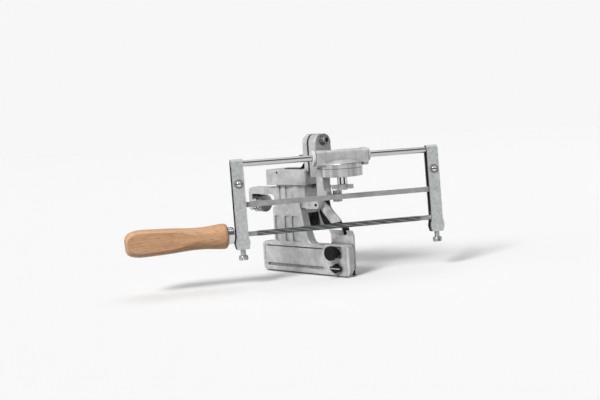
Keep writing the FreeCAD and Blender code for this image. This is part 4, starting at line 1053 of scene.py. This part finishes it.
# %% Round file
file_radius = 2.6 * mm
shank_radius = 2.3 * mm
file_start = -142.0 * mm
cut_start = -89.4 * mm
cut_end = 76.2 * mm
file_end = 98.0 * mm
cut_fade = 2.0 * mm
tooth_pitch = 0.9 * mm
tooth_depth = 0.16 * mm
row_count = 8
row_lead = 56 * mm
row_depth = 0.1 * mm
twist_count = 4
file_sides = 56
ring_step = 0.18 * mm
tooth_starts = 3
tooth_rise = 0.75
# Shares of the file's lightness: the tooth tips, the rows, and the twist, whose pale bands are painted
# highlight.
tooth_tone = 0.4
row_tone = 0.2
twist_highlight = 0.4


def saw(phase):
    """A tooth from 0 to 1: a slow rise and a quick fall."""
    share = phase % 1.0
    return share / tooth_rise if share < tooth_rise else (1 - share) / (1 - tooth_rise)


def tooth_at(along, angle):
    """Lightness of the cut, 0 to 1, with the painted highlight of its twisting bands, and how deep it
    goes in metres, at one point of the file.
    """
    turn = angle / (2 * math.pi)
    wound = 2 * math.pi * (turn - along / row_lead)
    tooth = saw(along / tooth_pitch + tooth_starts * turn)
    row = 0.5 + 0.5 * math.cos(row_count * wound)
    twist = 0.5 + 0.5 * math.cos(twist_count * wound)
    depth = tooth_depth * (1 - tooth) + row_depth * (1 - row)
    return tooth_tone * tooth + row_tone * row + twist_highlight * twist ** 2, depth


def file_rings():
    """Stations along the file, as (place, how much of the cut is there)."""
    rings_along = [(file_start, 0.0), (cut_start - cut_fade, 0.0)]
    count = int((cut_end - cut_start) / ring_step)
    for i in range(count + 1):
        along = cut_start + (cut_end - cut_start) * i / count
        inner = min(along - cut_start, cut_end - along)
        rings_along.append((along, min(1.0, inner / cut_fade)))
    return rings_along + [(cut_end + cut_fade, 0.0), (file_end, 0.0)]


def wound_mesh(name, stations, sides, radius_at, caps):
    """A closed skin of rings round X. radius_at gives a radius for a station and an angle."""
    points = []
    for station in stations:
        for i in range(sides):
            angle = 2 * math.pi * i / sides
            radius = radius_at(station, angle)
            points.append((station[0], radius * math.cos(angle), radius * math.sin(angle)))
    faces = []
    for row in range(len(stations) - 1):
        for i in range(sides):
            here = row * sides + i
            side = row * sides + (i + 1) % sides
            faces.append((here, here + sides, side + sides, side))
    for row, turned in ((0, False), (len(stations) - 1, True)):
        rim = [row * sides + i for i in range(sides)]
        middle_point = len(points)
        points.append((caps[1] if turned else caps[0], 0.0, 0.0))
        for i in range(sides):
            here, side = rim[i], rim[(i + 1) % sides]
            faces.append((side, middle_point, here) if turned else (here, middle_point, side))
    mesh = bpy.data.meshes.new(name)
    mesh.from_pydata(points, [], faces)
    mesh.polygons.foreach_set("use_smooth", [True] * len(faces))
    return mesh


def keep_levels(mesh, name, stations, sides, level_at):
    """Keeps a level for each point of the rings, and 0 for the middles of the two ends."""
    levels = [level_at(station, 2 * math.pi * i / sides) for station in stations
              for i in range(sides)]
    mesh.attributes.new(name, "FLOAT", "POINT").data.foreach_set("value", levels + [0.0, 0.0])


def stand_in(name, mesh, space, node, material):
    """Puts a finished mesh in its space, on the body of the CAD node that it replaces."""
    piece = bpy.data.objects.new(name, mesh)
    piece.matrix_world = space
    bpy.context.scene.collection.objects.link(piece)
    mesh.materials.append(material)
    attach(piece, nodes[node]["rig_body"])
    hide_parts(node)
    return piece


def file_radius_at(station, angle):
    along, share = station
    smooth = shank_radius + (file_radius - shank_radius) * share
    return smooth - share * tooth_at(along, angle)[1]


# The file's lightness, with the painted highlight of its twisting bands.
def wear_and_highlight_at(station, angle):
    return station[1] * tooth_at(station[0], angle)[0]


def cut_at(station, angle):
    """How much of the cut is there, which is the same all round."""
    return station[1]


def build_file():
    stations = file_rings()
    mesh = wound_mesh("spiral_file", stations, file_sides, file_radius_at, (file_start, file_end))
    keep_levels(mesh, "tooth", stations, file_sides, wear_and_highlight_at)
    keep_levels(mesh, "cut", stations, file_sides, cut_at)
    return stand_in("spiral_file", mesh, file_space, "round_file", file_steel)


spiral_file = build_file()
print("file points:", len(spiral_file.data.vertices))

# %% [markdown]
# ## Slotted sleeve
#
# The sleeve between the turntable and its wing nut has eight wide slots down its side. The same skin
# of rings makes it, stood on end: its radius drops wherever the angle falls in a slot, and an
# attribute keeps where that is, so that the finish can lay painted shade in the slots, nearly black.

# %% Slotted sleeve
slot_count = 8
slot_share = 0.36
slot_depth = 0.9 * mm
sleeve_sides = 192
sleeve_edge = 0.3 * mm
slot_ramp = 0.04


def in_slot(station, angle):
    """1 inside a slot and 0 on a tooth, with a short ramp between."""
    share = abs((angle * slot_count / (2 * math.pi)) % 1.0 - 0.5)
    return min(1.0, max(0.0, (slot_share / 2 - share) / slot_ramp + 0.5))


def sleeve_radius_at(station, angle):
    return station[1] - slot_depth * in_slot(station, angle)


def build_sleeve():
    low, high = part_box("clamp_hub")
    radius = (high[0] - low[0]) / 2
    length = high[2] - low[2]
    stations = [(0.0, radius - sleeve_edge), (sleeve_edge, radius),
                (length - sleeve_edge, radius), (length, radius - sleeve_edge)]
    mesh = wound_mesh("slotted_sleeve", stations, sleeve_sides, sleeve_radius_at, (0.0, length))
    mesh.polygons.foreach_set("use_smooth", [False] * len(mesh.polygons))
    keep_levels(mesh, "slot", stations, sleeve_sides, in_slot)
    foot = Vector(((low[0] + high[0]) / 2, (low[1] + high[1]) / 2, low[2]))
    space = space_of(foot, Vector((0, 0, 1)), Vector((1, 0, 0)))
    return stand_in("slotted_sleeve", mesh, space, "clamp_hub", sleeve_steel)


sleeve = build_sleeve()
print("sleeve points:", len(sleeve.data.vertices))

# %% [markdown]
# ## Beech handle
#
# The grip is turned, then flattened on the near side so that a thumb finds it. The flat runs out of
# the wood in a long arc, so its outline closes in a point. Both profiles, the round one and the flat
# one, are read from the CAD piece itself by casting rays at its far and near side, so that both models
# agree. On real wood the flat's edge is sanded soft, and a smooth minimum of the two radii does that.
# The same edge is drawn darker in the finish, so its line is kept in an attribute.

# %% Beech handle
handle_sides = 240
handle_steps = 150
flat_blend = 0.25 * mm
flat_least = 0.02 * mm
ridge_reach = 0.55 * mm
end_inset = 0.02 * mm
ray_start = 30 * mm
least_toward = 0.3


def handle_profile(start, end):
    """Stations along the grip with how far its far side and its near side lie from the grip's line."""
    points = points_in("file_handle", file_space)
    mesh = nodes["file_handle"].data
    tree = BVHTree.FromPolygons(points, [tuple(face.vertices) for face in mesh.polygons])
    profile = []
    for i in range(handle_steps + 1):
        share = 0.5 - 0.5 * math.cos(math.pi * i / handle_steps)
        along = start + end_inset + (end - start - 2 * end_inset) * share
        reach = []
        for way in (1, -1):
            hit = tree.ray_cast(Vector((along, way * ray_start, 0.0)), Vector((0, -way, 0)))[0]
            reach.append(abs(hit.y) if hit else 0.0)
        profile.append((along, reach[0], reach[1]))
    return profile


def grip_radius_at(station, angle):
    """The smaller of the round and the flat, eased into each other where they meet."""
    radius, near = station[1:]
    toward = -math.cos(angle)
    if toward < least_toward or near > radius - flat_least:
        return radius
    flat = near / toward
    gap = max(flat_blend - abs(radius - flat), 0.0) / flat_blend
    deep = min(1.0, (radius - near) / flat_blend)
    return min(radius, flat) - deep * gap * gap * flat_blend / 4


def ridge_at(station, angle):
    """1 on the line where the flat meets the round, and 0 away from it."""
    radius, near = station[1:]
    if near > radius - flat_least:
        return 0.0
    off = radius * abs(abs(angle - math.pi) - math.acos(near / radius))
    return max(0.0, 1 - off / ridge_reach)


def build_grip():
    low, high = span_in("file_handle", file_space)
    start, end = low.x, high.x
    profile = handle_profile(start, end)
    mesh = wound_mesh("turned_grip", profile, handle_sides, grip_radius_at, (start, end))
    keep_levels(mesh, "ridge", profile, handle_sides, ridge_at)
    print("handle %.1f mm long" % ((end - start) / mm))
    return stand_in("turned_grip", mesh, file_space, "file_handle", beech)


grip = build_grip()
print("grip points:", len(grip.data.vertices))

# %% [markdown]
# ## Cleaning up the CAD meshes
#
# A CAD mesh arrives cut apart at every sharp edge and with exactly sharp corners, and real corners
# catch light because they are a little round. A modifier may do that without touching the mesh itself:
# a small geometry node tree welds the points, drops the stored normals and marks the edges sharper
# than 32 degrees, a bevel rounds those, and weighted normals keep the flat faces flat.

# %% Cleaning up the CAD meshes
sharp_angle = math.radians(32)
weld_distance = 1e-6
corner_radius = 0.22 * mm
corner_radii = {"height_nut": 0, "height_lock": 0, "pawl_spring": 0,
                "upper_knob": 0.35 * mm, "lower_wing": 0.35 * mm, "left_strap": 0.3 * mm,
                "right_strap": 0.3 * mm}


def build_weld():
    tree = bpy.data.node_groups.new("weld_and_mark", "GeometryNodeTree")
    for way in ("INPUT", "OUTPUT"):
        tree.interface.new_socket(name="Geometry", in_out=way, socket_type="NodeSocketGeometry")
    given = tree.nodes.new("NodeGroupInput").outputs[0]
    merged = place(tree, "GeometryNodeMergeByDistance", {"Geometry": given, "Distance": weld_distance})
    plain = place(tree, "GeometryNodeRemoveAttribute", {"Geometry": merged.outputs[0],
                                                        "Name": "custom_normal"})
    smooth = place(tree, "GeometryNodeSetShadeSmooth", {"Geometry": plain.outputs[0],
                                                        "Shade Smooth": True}, domain="FACE")
    angle = place(tree, "GeometryNodeInputMeshEdgeAngle").outputs[0]
    sharp = place(tree, "FunctionNodeCompare", {0: angle, 1: sharp_angle}, operation="GREATER_THAN")
    marked = place(tree, "GeometryNodeSetShadeSmooth",
                   {"Geometry": smooth.outputs[0], "Selection": sharp.outputs[0],
                    "Shade Smooth": False}, domain="EDGE")
    place(tree, "NodeGroupOutput", {0: marked.outputs[0]})
    return tree


weld = build_weld()


def clean_up(piece, radius):
    """Welds a CAD mesh, rounds its corners and keeps its flats flat, all by modifiers."""
    piece.modifiers.new("weld", "NODES").node_group = weld
    if radius:
        rounding = piece.modifiers.new("rounding", "BEVEL")
        rounding.width = radius
        rounding.segments = 2
        rounding.limit_method = "ANGLE"
        rounding.angle_limit = sharp_angle
        rounding.use_clamp_overlap = True
    flats = piece.modifiers.new("flats", "WEIGHTED_NORMAL")
    flats.keep_sharp = True


print("clean-up tree:", weld.name, "and corners of %.2f mm" % (corner_radius / mm))

# %% [markdown]
# ## Finishes for the CAD nodes
#
# One table says which finish each CAD piece wears. The three pieces that were modelled anew have
# theirs already, and the printed line names any piece that was forgotten.

# %% Finishes for the CAD nodes
finishes = {
    cast_zinc: ["stop_carriage"],
    grooved_wheel: ["feed_wheel"],
    cast_tunnel_shaded: ["clamp_body"],
    cast_turned: ["swing_arm", "guide_body"],
    plate_steel: ["fixed_jaw_plate", "pressure_plate", "pawl_lever"],
    bar_steel: ["flat_bar"],
    zinc_strip: ["left_strap", "right_strap", "file_saddles", "screw_blocks"],
    screw_zinc: ["pinch_nuts", "bar_rivets", "left_clamp_screw", "right_clamp_screw",
                 "jaw_plate_screws", "arm_stop_pin", "guide_pins", "feed_spindle", "wing_nut"],
    screw_dark: ["pivot_screw", "pivot_washers", "spring_washer", "pinch_washers"],
    slotted_screw: ["pinch_screws"],
    blackened: ["block_pin", "latch_spring", "stop_pawl", "pawl_pin", "pawl_spring", "spindle_clip",
                "upper_spindle", "lower_spindle"],
    black_plastic: ["plate_foot", "upper_knob", "lower_wing"],
    bright_steel: ["wing_bar", "height_pin", "clamp_stud", "handle_ferrule"],
    knurled_nut: ["height_nut", "height_lock"],
    rod_steel: ["guide_rod"],
    nylon: ["left_bush", "right_bush"],
}
for finish, names in finishes.items():
    for name in names:
        nodes[name].material_slots[0].material = finish
        clean_up(nodes[name], corner_radii.get(name, corner_radius))
replaced = {"round_file", "file_handle", "clamp_hub"}
unfinished = set(nodes) - replaced - {name for names in finishes.values() for name in names}
print("nodes finished: %d, left over: %s" % (len(nodes) - len(unfinished), sorted(unfinished)))
